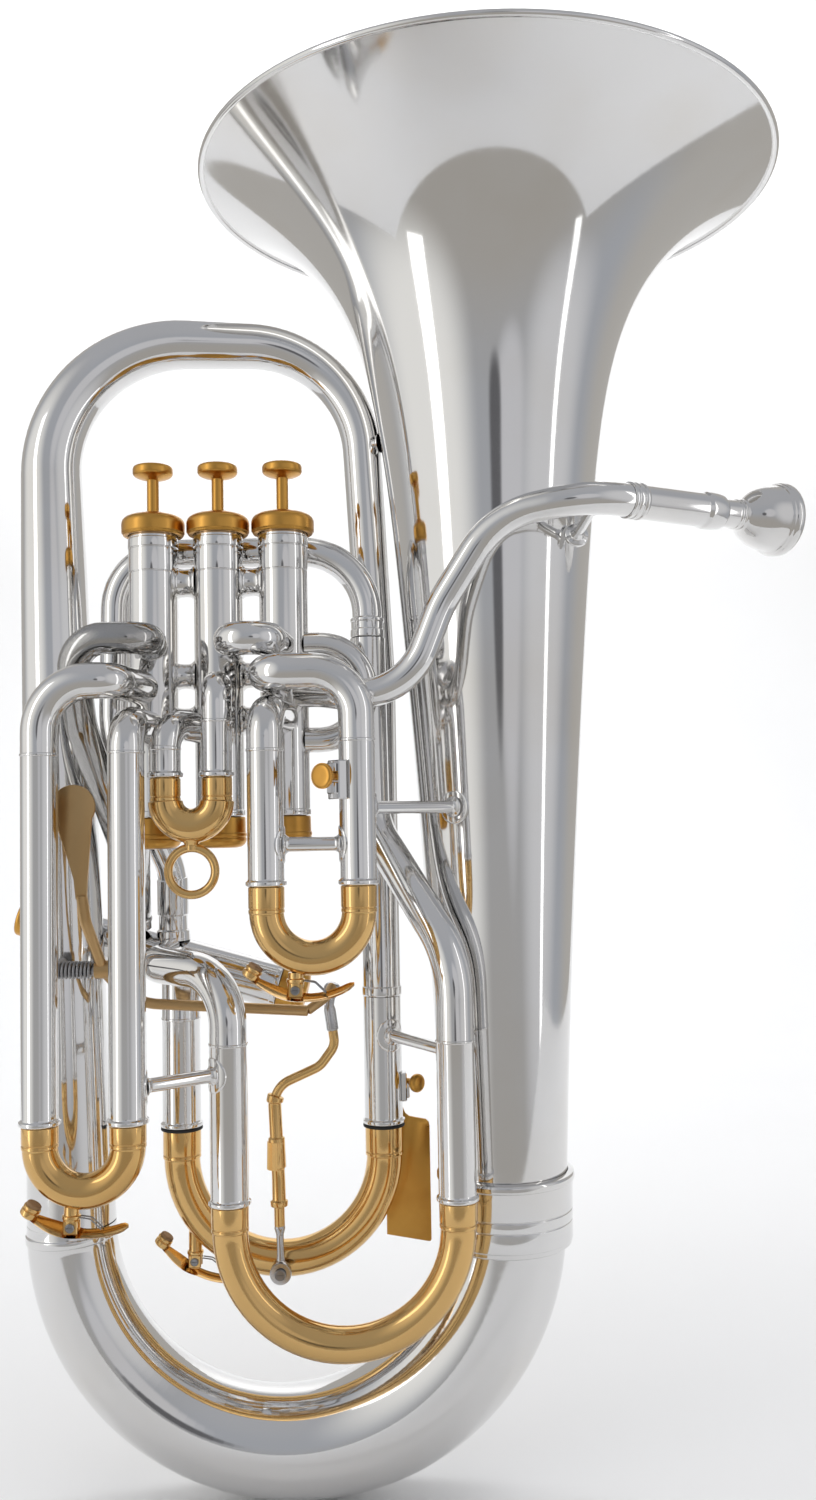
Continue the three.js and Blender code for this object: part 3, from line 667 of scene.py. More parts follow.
class EUPH_OT_branches(bpy.types.Operator):
    """Make the bottom bow and the outer branch with its top bow"""
    bl_idname = "euphonium.branches"
    bl_label = "Bows and branch"

    def execute(self, context):
        half = BOW_SPAN / 2
        line = Line([(0, 0, 147), (0, 0, BOW_Z - half, half - 0.01),
                     (-BOW_SPAN, 0, BOW_Z - half, half - 0.01), (-BOW_SPAN, 0, BOW_Z)], 3)
        run = line.length - 8
        radii = [30.9, 31.2, 30.2, 27.6, 25.7, 24.0, 22.7]
        out = []
        for i in range(61):
            t = i / 10
            k = min(int(t), 5)
            a, b = radii[k], radii[k + 1]
            p, q = radii[max(k - 1, 0)], radii[min(k + 2, 6)]
            u = t - k
            r = a + (b - a) * u + u * (1 - u) * ((b - p) / 2 - (b - a)) * (1 - u)
            r += u * u * (1 - u) * -((q - a) / 2 - (b - a))
            out.append((run * i / 60, r))
        ring = [(run + 0.3, 23.5), (run + 3.6, 23.5), (run + 4.1, 22.75), (line.length, 22.6)]
        inside = [(run * i / 6, r - 1) for i, r in enumerate(radii)] + [(line.length, 21.6)]
        make("bow", turned(line, out + ring, inside, 64), finish("silver plate"), replaces="bottom_bow")
        line = Line([(-BOW_SPAN, 0, BOW_Z + 0.1), (-236.2, 0, 603.8, 72), (-72, 20, 603.8, 60),
                     (-62.9, 14, 420, 200), (-62.9, 14, 251)], 4)
        end = line.length
        taper = [(0, 22.5), (90, 21.1), (180, 19.6), (330, 17.2), (415, 15.2), (520, 12.6),
                 (580, 11.3), (640, 10.5), (760, 10.1), (end - 5, 10.1), (end - 4.7, 10.7),
                 (end - 0.6, 10.7), (end, 10.4)]
        bore = [(0, 21.5), (180, 18.6), (415, 14.2), (520, 11.6), (640, 9.4), (end, 9.2)]
        make("branch_tube", turned(line, taper, bore, 56), finish("silver plate"), replaces="top_branch")
        # small flange where the top bow is soldered to the bell
        flange = lathe((-64, 12, 548), (-52, 6, 548), [(0, 2.4), (3.6, 2.6), (5.2, 5.2), (5.8, 5.2)],
                       None, 24)
        make("bow_flange", flange, finish("silver plate"))
        return {"FINISHED"}


# ---- slides ----

MAIN = dict(left=-170.1, right=-62.9, y=14, crook_z=168, ferrule=184, inner=9.0, outer=10.1,
            crook=9.4, insert=52)
SLIDE1 = dict(left=-113.6, right=-70.7, y=-80, crook_z=302.4, ferrule=314.5, inner=7.85,
              outer=8.55, crook=8.1, insert=60)
SLIDE2 = dict(left=-162.4, right=-137.8, y=-68, crook_z=355.2, ferrule=366, inner=6.7,
              outer=7.4, crook=8.2, insert=12)
SLIDE3 = dict(left=-219.0, right=-178.5, y=-80, crook_z=196.8, ferrule=206.8, inner=7.85,
              outer=8.55, crook=8.1, insert=90)
SLIDE4 = dict(left=-136.6, right=-26.4, y=-47, crook_z=147.8, ferrule=160, inner=8.5,
              outer=9.2, crook=8.6, insert=60)


def crook(slide):
    """Inner leg, sleeve, half circle, sleeve and inner leg, in one run."""
    left, right, y = slide["left"], slide["right"], slide["y"]
    bend = (right - left) / 2
    top = slide["ferrule"] + slide["insert"]
    low = slide["crook_z"] - bend
    line = Line([(left, y, top), (left, y, low, bend - 0.01), (right, y, low, bend - 0.01),
                 (right, y, top)], 5)
    sleeve = slide["insert"] + 0.3
    far = line.length - sleeve
    lip = slide["ferrule"] - slide["crook_z"]
    fat, r, inner = slide["outer"] - 0.1, slide["crook"], slide["inner"]
    a, b = sleeve + lip, far - lip
    out = [(0, inner), (sleeve, inner), (sleeve + 0.2, fat - 0.2), (sleeve + 0.5, fat),
           (a - 2.2, fat), (a - 2.0, fat - 0.3), (a - 1.6, fat - 0.3), (a - 1.4, fat), (a, fat),
           (a + 0.4, r), (b - 0.4, r), (b, fat), (b + 1.4, fat), (b + 1.6, fat - 0.3),
           (b + 2.0, fat - 0.3), (b + 2.2, fat), (far - 0.5, fat), (far - 0.2, fat - 0.2),
           (far, inner), (line.length, inner)]
    return turned(line, out, [(0, inner - 0.7), (line.length, inner - 0.7)], soft=0.2)


def outer(x, y, ferrule, r, bore, rest, joints):
    """Silver outer tube: a rolled bead at its mouth, joint rings at the heights given."""
    line = Line([(x, y, ferrule)] + rest, 6)
    out = [(0, r + 0.5), (0.4, r + 1.1), (2.0, r + 1.1), (2.6, r + 0.2), (3.2, r)]
    for z in joints:
        s = z - ferrule
        out += [(s, r), (s + 0.15, r + 0.4), (s + 1.15, r + 0.4), (s + 1.3, r)]
    out.append((line.length, r))
    return turned(line, out, [(0, bore), (line.length, bore)], soft=0.3)


def outer_pair(name, replaced, slide, rests, rings=((), ()), braces=((), ())):
    """Left and right outer tubes: the way each goes on, its joint rings, and its braces."""
    y, low, r, bore = slide["y"], slide["ferrule"], slide["outer"], slide["inner"] + 0.2
    for side, rest, ring, brace in zip(("left", "right"), rests, rings, braces):
        make(f"{name}_{side}", merge(outer(slide[side], y, low, r, bore, rest, ring), *brace),
             finish("silver plate"), replaces=f"{replaced}_{side}")


def key_post(x, z, y, drop):
    """Round post with a collar, slotted across for the key's lug."""
    return merge(lathe((x, y, z + drop), (x, y, z), [(0, 3.4), (drop - 5.2, 3.5), (drop - 5, 4.3),
                                                     (drop - 3.6, 4.3), (drop - 3.3, 3.9),
                                                     (drop - 1.5, 3.9)], None, 32),
                 *(boxes([((x, y + d, z), 0, (6.6, 1.8, 6.6))]) for d in (-2.6, 2.6)),
                 rod([(x, y - 3.4, z), (x, y + 3.4, z)], 1.1))


def screw_head(x, y, z, r=2.1):
    """Slotted pin head facing the front."""
    return merge(lathe((x, y, z), (x, y - 9, z), [(0, r), (1.2, r), (1.6, r - 0.5)], None, 24),
                 lathe((x - r * 0.8, y - 1.75, z), (x + r, y - 1.75, z),
                       [(0, 0.22), (r * 1.6, 0.22)], None, 6, 0))


class EUPH_OT_slides(bpy.types.Operator):
    """Make the four valve slides: silver outer tubes, gold crooks, the pull ring and braces"""
    bl_idname = "euphonium.slides"
    bl_label = "Valve slides"

    def execute(self, context):
        gold = finish("gold plate")
        outer_pair(
            "first_outer", "slide_1_outer", SLIDE1,
            ([(-113.6, -80, 396, 12), (-109.6, -40.5, 396)],
             [(-70.7, -80, 414.4, 21), (-114.6, -80, 414.4, 9.6), (-111.2, -40, 414.4)]),
            ((377,), (381,)),
            ((), (flanged_rod((-78.6, -80, 333.5), (-105.3, -80, 333.5), 3.4, 5.2),
                  flanged_rod((-64.9, -74.3, 350), (-24.9, -35.0, 350), 3.1, 5.4),
                  saddle((-70.7, -80, 333.5), (-1, 0, 0), 8.55),
                  saddle((-70.7, -80, 350), (0.71, 0.7, 0), 8.55),
                  saddle((-113.6, -80, 333.5), (1, 0, 0), 8.55),
                  saddle((0, 0, 350), (-24.9, -35.0, 0), 41.9))))
        make("first_crook", merge(crook(SLIDE1), key_post(-100.5, 266.5, -80, 8)), gold,
             "first_slide", "slide_1_crook")
        outer_pair("second_outer", "slide_2_outer", SLIDE2,
                   ([(-162.4, -68, 391, 12), (-148.4, -40.4, 391)],
                    [(-137.8, -68, 410, 9), (-139.6, -41, 410)]), ((379,), (392,)))
        turn, rings = 64, 20
        verts = []
        for i in range(turn):
            a = math.tau * i / turn
            for j in range(rings):
                b = math.tau * j / rings
                r = 11.1 + 2.1 * math.cos(b)
                verts.append(at(-150.1 + r * math.cos(a), -68 + 2.1 * math.sin(b),
                                321.4 + r * math.sin(a)))
        foot = lathe((-150.1, -68, 331.5), (-150.1, -68, 350), [(0, 3.2), (2.4, 3.2), (4.6, 4.6)],
                     None, 28, 0.6)
        make("second_crook", merge(crook(SLIDE2), (verts, skin(turn, rings, loop=True)), foot), gold,
             "second_slide", "slide_2_crook")
        outer_pair("third_outer", "slide_3_outer", SLIDE3,
                   ([(-219, -80, 411.6, 24), (-184.5, -80, 411.6, 9.6), (-178.8, -40.6, 411.6)],
                    [(-178.5, -80, 391.5, 12), (-175.5, -40.4, 391.5)]), ((376.5,), (377,)))
        make("third_crook", merge(crook(SLIDE3), key_post(-204.5, 161, -80, 9)), gold,
             "third_slide", "slide_3_crook")
        outer_pair(
            "fourth_outer", "slide_4_outer", SLIDE4,
            ([(-136.6, -47, 270, 26), (-178, -14, 272, 16), (-178, 26, 272)],
             [(-26.4, -47, 276, 52), (-66, -9, 342, 34), (-67, -9, 438.8)]),
            ((236,), (236,)),
            ((flanged_rod((-143.4, -52.3, 222.6), (-171.9, -74.8, 222.6), 3.3, 5.0),
              saddle((-136.6, -47, 222.6), (-28, -22, 0), 9.2),
              saddle((-178.5, -80, 222.6), (28, 22, 0), 8.55)),
             (flanged_rod((-30.9, -39.5, 230.8), (-57.6, 5.1, 230.8), 3.1, 5.0),
              saddle((-26.4, -47, 230.8), (-26.6, 44.4, 0), 9.2),
              saddle((-62.9, 14, 230.8), (26.6, -44.4, 0), 10.1))))
        make("fourth_crook", crook(SLIDE4), gold, "fourth_slide", "slide_4_crook")
        return {"FINISHED"}


class EUPH_OT_main_slide(bpy.types.Operator):
    """Make the main tuning slide, its outer tubes and the black bumper rings"""
    bl_idname = "euphonium.main_slide"
    bl_label = "Main tuning slide"

    def execute(self, context):
        outer_pair("main_tube", "main_outer", MAIN, ([(-170.1, 14, 262.2)], [(-62.9, 14, 250.7)]),
                   ((240,), ()))
        stud = merge(rod([(-116.6, 6.4, 113), (-116.6, -9.2, 113)], 1.9),
                     screw_head(-116.6, -8.4, 113, 2.9))
        make("main_bend", merge(crook(MAIN), key_post(-163.5, 114, 14, 15)), finish("gold plate"),
             "main_slide", "main_crook")
        make("link_stud", stud, finish("dark steel"), "main_slide")
        for side in ("left", "right"):
            band = lathe((MAIN[side], 14, 182.2), (MAIN[side], 14, 200),
                         [(0, 10.3), (0.2, 11.0), (1.4, 11.0), (1.7, 10.4)],
                         [(0, 9.6), (1.7, 9.6)], 48, 0.3)
            make("bumper_" + side, band, finish("black rubber"), BODY)
        return {"FINISHED"}


# ---- loops between the valves ----


class EUPH_OT_loops(bpy.types.Operator):
    """Make the loops that carry the wind between the valves"""
    bl_idname = "euphonium.loops"
    bl_label = "Valve loops"

    def execute(self, context):
        silver = finish("silver plate")
        line = Line([(-67, -9, 439), (-67, -8, 485.7, 34), (-198, -7.4, 485.7, 29),
                     (-201, -5, 388, 60), (-177.5, 33, 318, 28), (-177.5, 34.5, 280.4)], 5)
        end = line.length
        rear = turned(line, [(0, 8.4), (0.4, 8.9), (4.2, 8.9), (4.6, 8.5), (8.2, 8.5), (8.6, 8.9),
                             (10.2, 8.9), (10.6, 7.8), (end - 34, 7.8), (end - 33.6, 8.6),
                             (end - 14, 8.6), (end - 13.6, 7.9), (end - 6, 7.9),
                             (end - 5, 9.0), (end - 1, 9.3), (end, 9.3)],
                      [(0, 7.2), (end, 7.2)])
        make("rear_tube", rear, silver, replaces="rear_loop")
        third = tube([(-174, -40.5, 433.5), (-171, -66, 433.5, 9.4), (-208, -66, 433.5, 17),
                      (-208, -45, 393, 40), (-196, 18, 318, 22), (-196, 29, 288)], 7.8, 7.0,
                     [(0.2, 2, 0.5), (-6, 2, 0.5)])
        make("third_tube", third, silver, replaces="third_loop")
        front = tube([(-134.2, -40.2, 432.4), (-131.2, -66, 432.4, 8.7),
                      (-113.4, -66, 432.4, 8.7), (-110.6, -40.2, 432.4)], 8.2, 7.4)
        make("front_bend", front, silver, replaces="front_u_bend")
        first = tube([(-98, -32, 433), (-68, -32, 433, 23), (-68, -32, 385, 23),
                      (-98, -32, 385)], 6.6, 5.9)
        make("first_tube", first, silver, replaces="first_loop")
        return {"FINISHED"}


# ---- leadpipe, receiver, mouthpiece ----

SOCKET, BACK, TILT = (59.93, -69, 495.32), math.radians(28), math.radians(0.43)


def along_pipe(s):
    """A point on the receiver's axis, that far beyond its inner end."""
    return (SOCKET[0] + s * math.cos(BACK), SOCKET[1] + s * math.sin(BACK),
            SOCKET[2] - s * math.sin(TILT))


class EUPH_OT_leadpipe(bpy.types.Operator):
    """Make the leadpipe, its brace and receiver, and the mouthpiece"""
    bl_idname = "euphonium.leadpipe"
    bl_label = "Leadpipe and mouthpiece"

    def execute(self, context):
        silver = finish("silver plate")
        line = Line([(-99, -36, 408.6), (-76, -60, 404.5, 20), (-46, -63, 406.6, 34),
                     (-30, -63, 447, 60), (-3, -68, 489, 44), (*along_pipe(-22), 50),
                     along_pipe(-0.2)], 4)
        end = line.length
        pipe = turned(line, [(0, 7.2), (end - 60, 7.2), (end, 8.1)], [(0, 6.4), (end, 6.4)])
        brace = lathe((44, -70.6, 492), (39, -38, 484),
                      [(0, 4.6), (1.6, 3.6), (4, 2.6), (26, 2.6), (29, 3.6), (30, 6.2), (31.6, 6.2)],
                      None, 32, 0.6)
        make("leadpipe_tube", merge(pipe, brace), silver, replaces="leadpipe")
        socket = lathe(SOCKET, along_pipe(10),
                       [(0, 8.3), (0.5, 8.9), (1.8, 8.9), (2.1, 8.5), (3.0, 8.5), (3.3, 8.9),
                        (5.4, 8.9), (5.7, 8.5), (6.4, 8.5), (6.8, 9.0), (8, 9.0), (8.8, 8.4),
                        (45.6, 8.4), (47.4, 9.3), (50, 9.4), (54, 9.2), (57.2, 8.6), (58.6, 7.6)],
                       [(0, 7.0), (58.6, 7.0)], 56)
        make("receiver_tube", socket, silver, replaces="receiver")
        out = [(31, 5.6), (59, 6.7), (66, 7.1), (67, 7.1), (67.3, 7.5), (68.6, 7.5), (68.9, 7.0),
               (70, 7.0), (70.4, 7.7), (71.8, 7.9), (72.6, 8.6), (74.4, 10.4), (76.6, 12.2),
               (79.4, 13.8), (82.6, 15.1), (86, 16.0), (89.6, 16.6), (91.4, 17.0), (92, 17.7),
               (93.2, 17.9), (93.8, 18.4), (95.2, 18.8), (97.2, 18.8), (98.6, 18.1), (99.2, 17.0)]
        bore = [(31, 5.0), (62, 4.2), (70, 3.4), (72.6, 4.4), (76, 6.6), (79, 8.8), (82, 10.4),
                (86, 11.7), (91, 12.5), (95.4, 13.0), (98, 13.6), (99.2, 14.9)]
        make("mouthpiece_cup", lathe(SOCKET, along_pipe(10), out, bore, 72, 0.7), silver,
             "mouthpiece", "mouthpiece")
        return {"FINISHED"}


# ---- valves ----

VALVE_X, VALVE_Y, VALVE_Z, VALVE_H = (-108.6, -141.6, -174.6), -30, 331.5, 170.5
LEAN = math.radians(16)
SIDE_FOOT, SIDE_UP, SIDE_H = (-104.7, 37, 249.0), (-math.cos(LEAN), 0, math.sin(LEAN)), 140


def valve(n, foot, up, height):
    """Casing, caps, piston, button and spring of one valve that stands on its bottom cap."""
    silver, satin, steel = finish("silver plate"), finish("satin gold"), finish("dark steel")
    way = Vector(up).normalized()
    spot = lambda w: tuple(Vector(foot) + way * w)
    part = lambda out, bore=None, soft=0.35, sides=56: lathe(foot, spot(1), out, bore, sides, soft)
    r, top = 12.4, height - 6.6
    score = [(height - 31.4, r), (height - 31.2, r - 0.25), (height - 30.8, r - 0.25),
             (height - 30.6, r), (height - 19.2, r + 0.12), (height - 19, r - 0.2),
             (height - 18.6, r - 0.2), (height - 18.4, r + 0.35), (height - 14, r + 0.35),
             (height - 13.8, r), (top, r)]
    shells = [part([(15.8, r), (16.2, r + 0.4), (18.6, r + 0.4), (19, r)] + score,
                   [(15.8, 10.45), (top, 10.45)], 0.15)]
    if n == 2:
        for side in (-1, 1):
            for z in (466, 418.5, 396):
                k = 7.4 if z > 440 else 6.8
                x = VALVE_X[1]
                shells.append(lathe((x + side * 11.4, -29, z), (x + side * 24.4, -29, z),
                                    [(0, k + 1.6), (0.9, k + 1.4), (2.2, k + 0.1), (3.2, k - 0.2),
                                     (6, k - 0.4), (7.6, k - 0.2), (8.8, k + 0.1), (10.0, k + 1.4),
                                     (11, k + 1.6)], None, 48, 0.6))
    make(f"valve_case_{n}", merge(*shells), silver, replaces=f"casing_{n}")
    h = height
    cap = part([(h - 12, 14.4), (h - 11.7, 15.1), (h - 10.9, 15.4), (h - 10.4, 15.9),
                (h - 5.6, 15.95), (h - 4, 15.5), (h - 2.8, 14.4), (h - 1.9, 12.6), (h - 1.3, 9.8),
                (h - 1.0, 7.4), (h - 0.2, 6.6), (h, 5.8)],
               [(h - 12, 12.8), (h - 6, 12.8), (h - 6, 3.4), (h, 3.4)], 0.7)
    make(f"cap_top_{n}", cap, satin, replaces=f"top_cap_{n}")
    low = part([(0, 8.0), (0.5, 10.4), (1.6, 11.9), (3.2, 12.8), (4.6, 13.0), (5.0, 12.6),
                (5.5, 12.6), (5.9, 13.0), (7.2, 12.95), (7.6, 12.5), (14.4, 12.4), (15.4, 12.2),
                (15.5, 10.1), (19, 10.1)],
               [(0, 2.0), (2.8, 2.0), (2.8, 8.9), (19, 8.9)], 0.4)
    make(f"cap_low_{n}", low, satin, replaces=f"bottom_cap_{n}")
    crown = h - 15
    body = f"valve_{n}"
    make(f"valve_piston_{n}", part([(43, 10.1), (crown, 10.1)],
                                   [(43, 8.8), (crown - 3, 8.8), (crown - 3, 1.9), (crown, 1.9)]),
         steel, body, f"piston_{n}")
    head = h + 17
    button = part([(crown - 2.7, 1.6), (crown + 0.3, 1.6), (crown + 0.6, 3.0), (head, 3.0),
                   (head + 0.6, 4.6), (head + 1.3, 7.4), (head + 2.2, 9.4), (head + 3.2, 10.1),
                   (head + 5.6, 10.15), (head + 6.6, 9.8), (head + 7.0, 9.2), (head + 7.1, 8.4),
                   (head + 6.7, 7.6), (head + 6.6, 4), (head + 6.6, 0.01)], None, 0.5, 48)
    make(f"finger_button_{n}", button, satin, body, f"button_{n}")
    coil(f"spring_{n}", spot(4.2), up, 6.8, 0.75, 36.6, 7, f"valve_spring_{n}")


class EUPH_OT_valves(bpy.types.Operator):
    """Make the four valves: casings with knuckles, caps, pistons, buttons and springs"""
    bl_idname = "euphonium.valves"
    bl_label = "Valves"

    def execute(self, context):
        for n, x in enumerate(VALVE_X, 1):
            valve(n, (x, VALVE_Y, VALVE_Z), (0, 0, 1), VALVE_H)
        valve(4, SIDE_FOOT, SIDE_UP, SIDE_H)
        return {"FINISHED"}


# ---- trigger and link ----

PIVOT_Y, PIVOT_Z, BALL, EYE = -50, 274, (-88, -5, 259), (-116.6, -5.2, 113)


def spoon():
    """Thumb spoon: a round dished plate that narrows to the arm."""
    n = 28
    edge = []
    for k in range(n + 1):
        a = math.radians(-32 + 244 * k / n)
        edge.append((-206.6 + 10.6 * math.cos(a), 352.8 + 10.6 * math.sin(a)))
    return plate(edge + [(-212.2, 337), (-208.6, 326), (-206.3, 318), (-205.4, 309), (-200.2, 309),
                         (-199.9, 318), (-199.2, 326), (-198.4, 337)], 2.2, -67.4, 0.6)


class EUPH_OT_trigger(bpy.types.Operator):
    """Make the thumb trigger, its axle and spring, and the link to the main slide"""
    bl_idname = "euphonium.trigger"
    bl_label = "Trigger"

    def execute(self, context):
        gold, steel = finish("gold plate"), finish("dark steel")
        arm = rod([(-202.8, -66.2, 311), (-201.5, -64, 298, 12), (-196.6, -50, PIVOT_Z, 8),
                   (-189, -30, 257.5, 8), (-178, -22, 253.2, 8), (-99.5, -22, 248.4)], 2.7, 24, 8)
        hub = lathe((-200.2, PIVOT_Y, PIVOT_Z), (-180, PIVOT_Y, PIVOT_Z), [(0, 4.4), (8, 4.4)],
                    [(0, 2.15), (8, 2.15)], 32)
        finger = rod([(-99.8, -22, 248.4), (-91, -16, 254, 5), (BALL[0], BALL[1] - 3.4, BALL[2])], 2.4)
        make("trigger_arm", merge(arm, hub, finger), finish("brushed gold"), "trigger", "trigger_lever")
        make("trigger_spoon", spoon(), finish("brushed gold"), "trigger")
        make("trigger_pin", merge(
            rod([(-223, PIVOT_Y, PIVOT_Z), (-189.4, PIVOT_Y, PIVOT_Z)], 2.0),
            rod([(-222.6, PIVOT_Y - 2, PIVOT_Z), (-224.4, -19.4, PIVOT_Z)], 3.0)), steel,
            replaces="trigger_axle")
        coil("trigger_coil", (-218.4, PIVOT_Y, PIVOT_Z), (1, 0, 0), 3.6, 0.75, 16.6, 9,
             "trigger_spring")
        x, y, z = EYE
        line = Line([(x, y, z + 3.4), (x - 0.6, y, 160), (-119.1, y, 207, 13), (-95, y, 217.5, 12),
                     (-87.2, y, 228, 9), (-90, y, 249.2)], 6)
        end = line.length
        rods = turned(line, [(20, 2.2), (20.4, 2.7), (30, 2.7), (30.4, 4.4), (33, 4.6), (33.6, 3.5),
                             (49.5, 3.4), (50, 4.3), (65, 4.3), (65.5, 3.4), (83, 3.4), (83.4, 4.4),
                             (86.5, 4.4), (87, 2.5), (end - 13.2, 2.5)], None, 32, 0.4)
        make("link_rod", rods, gold, "link", "trigger_link")
        ends = merge(
            turned(line, [(3, 2.2), (6, 1.9), (16, 1.9), (17.6, 2.4), (19.6, 2.9), (20.4, 2.6)],
                   None, 24),
            turned(line, [(end - 13.6, 2.6), (end - 13, 3.1), (end - 3, 3.1), (end, 2.4)], None, 28),
            lathe((x, y - 2.6, z), (x, y + 2.6, z), [(0, 5.2), (0.5, 5.6), (4.7, 5.6), (5.2, 5.2)],
                  [(0, 2.2), (5.2, 2.2)], 40),
            lathe((BALL[0] - 1.6, BALL[1], 248.6), BALL,
                  [(0, 2.2), (3.6, 2.2), (5.4, 3.2), (7.4, 4.2), (9.4, 4.3), (11.2, 3.4), (12, 1.6)],
                  None, 28))
        make("link_ends", ends, finish("bright steel"), "link")
        knurl("link_coupling", (-118.4, y, 172.6), (0.02, 0, 1), 4.2, 14, gold, "link", 0.42)
        return {"FINISHED"}


# ---- water keys and small work ----


def water_key(name, body, pin, y, pad, tip, sag):
    """Dished leaf with a cork pad in a cup, swinging on a slotted pin in a round post."""
    px, pz = pin
    steps, verts, roll = 26, [], math.radians(28)
    leaf = ((-1, 0.75), (-0.6, 0.15), (0, 0.05), (0.6, 0.15), (1, 0.75), (0.7, -0.55), (0, -0.95),
            (-0.7, -0.55))
    for k in range(steps + 1):
        t = k / steps
        x = pad[0] + (tip[0] - pad[0]) * t
        z = pad[1] + (tip[1] - pad[1]) * t - sag * 4 * t * (1 - t)
        wide = 2.4 + 2.2 * math.sin(math.pi * min(1, t / 0.62)) ** 1.2
        wide = max(wide, 3.0 if 0.5 < t < 0.9 else 0)
        if t > 0.9:
            wide = 3.0 * math.sqrt(max(0.05, 1 - ((t - 0.9) / 0.1) ** 2))
        for across, dz in leaf:
            dy = wide * across
            verts.append(at(x, y + dy * math.cos(roll) - dz * math.sin(roll),
                            z + dy * math.sin(roll) + dz * math.cos(roll)))
    strip = (verts, skin(steps + 1, len(leaf), flip=True))
    towards = (pad[0] + pad[2] * 5, y, pad[1] + 5)
    cup = lathe((pad[0], y, pad[1]), towards,
                [(-0.5, 3.4), (0.2, 4.3), (2.6, 4.3), (2.8, 3.7), (3.2, 3.7), (3.4, 4.2), (4.4, 4.2),
                 (4.8, 3.9)], None, 40)
    lug = boxes([((px, y, pz - 1.2), 0, (5.2, 2.0, 7.0))])
    make(name + "_lever", merge(strip, cup, lug), finish("gold plate"), body, "water_" + body)
    make(name + "_pad", lathe((pad[0], y, pad[1]), towards, [(4.6, 3.6), (6.0, 3.6), (6.4, 3.1)],
                              None, 32), finish("cork"), body)
    make(name + "_screw", merge(screw_head(px, y - 3.0, pz, 2.2),
                                rod([(px, y - 3.0, pz), (px, y + 4, pz)], 0.9)),
         finish("dark steel"), body)
    lift, drop = (1.4, 3.4) if body == "key_main" else (4.2, 1.4)
    wire = merge(*(rod([(px + 4.0, y + d, pz + lift), (px + 9, y + d, pz + lift - 0.8, 2),
                        (px + 14, y + d, pz - drop)], 0.35, 8) for d in (-1.6, 1.6)))
    make(name + "_wire", wire, finish("dark steel"), body)


class EUPH_OT_keys(bpy.types.Operator):
    """Make the three water keys"""
    bl_idname = "euphonium.keys"
    bl_label = "Water keys"

    def execute(self, context):
        water_key("first_key", "key_1", (-100.5, 266.5), -80, (-121.8, 272.5, 0.62),
                  (-73.4, 268.5), 8)
        water_key("third_key", "key_3", (-204.5, 161), -80, (-224.5, 166, 0.6), (-178.5, 160.5), 6)
        water_key("main_key", "key_main", (-163.5, 114), 14, (-181.5, 122, 0.7), (-146, 103.4), 4.5)
        return {"FINISHED"}


class EUPH_OT_small_work(bpy.types.Operator):
    """Make the hand guard, the lyre screw and the slide stop screw"""
    bl_idname = "euphonium.small_work"
    bl_label = "Guard and screws"

    def execute(self, context):
        satin, silver = finish("satin gold"), finish("silver plate")
        edge = [(-62.5, 121.8), (-40, 117.8), (-39, 118), (-38.6, 119), (-38.6, 179),
                (-39, 181), (-40.6, 182.6), (-46, 183.6), (-49.6, 184.4), (-51.6, 186),
                (-53, 189.4), (-54.5, 205), (-62.5, 205)]
        make("guard_plate", plate(edge, 1.6, 25.4, 0.5), satin, replaces="hand_guard")
        make("lyre_block", boxes([((-79.58, -87.45, 363), 40, (4.8, 9, 18)),
                                  ((-80.9, -88.6, 359.2), 40, (4.6, 6.4, 5.4)),
                                  ((-80.9, -88.6, 368.6), 40, (4.6, 6.4, 4.4))]), silver,
             replaces="lyre_screw")
        way = (-5.5, -8.3, 0)
        start = (-79.6, -88, 364.5)
        make("lyre_thumbscrew", lathe(start, tuple(Vector(start) + Vector(way)),
                                      [(0, 2.0), (6.4, 2.0), (6.8, 3.0), (9.4, 3.0), (10, 5.2),
                                       (10.3, 5.5), (12, 5.5), (12.5, 4.9), (12.7, 3.4), (12.5, 0.6)],
                                      None, 40), satin)
        head = tuple(Vector(start) + Vector(way).normalized() * 11.15)
        knurl("lyre_knurl", head, way, 5.5, 1.7, satin)
        make("stop_block", boxes([((-51.9, 13, 203), 0, (3.0, 7, 15)),
                                  ((-50.2, 13, 201), 0, (2.4, 5, 8))]), silver)
        make("stop_screw", lathe((-50, 13, 205.4), (-35, -3, 205.4),
                                 [(0, 1.8), (4.4, 1.8), (5.4, 4.2), (6.6, 4.8), (8.2, 4.8),
                                  (9.4, 3.6), (9.8, 1.2)], None, 36), satin)
        return {"FINISHED"}


# ---- stage ----

# floor sheet, in metres: front edge, where it starts to curl up, curl radius, top, half width
FLOOR_FRONT, FLOOR_BEND, SWEEP, BACKDROP_TOP, FLOOR_HALF, FLOOR_Z = -0.45, 1.2, 0.9, 3.4, 1.15, -0.001
# camera: millimetres from the bell's foot, radians, and a lens on a full-frame sensor
EYE_POINT, LOOK_UP, ROLL = (-46.73, -688.65, 344.31), 0.0528, math.radians(-1.0)
SENSOR = 36
LENS = 1306.38 / 1500 * SENSOR
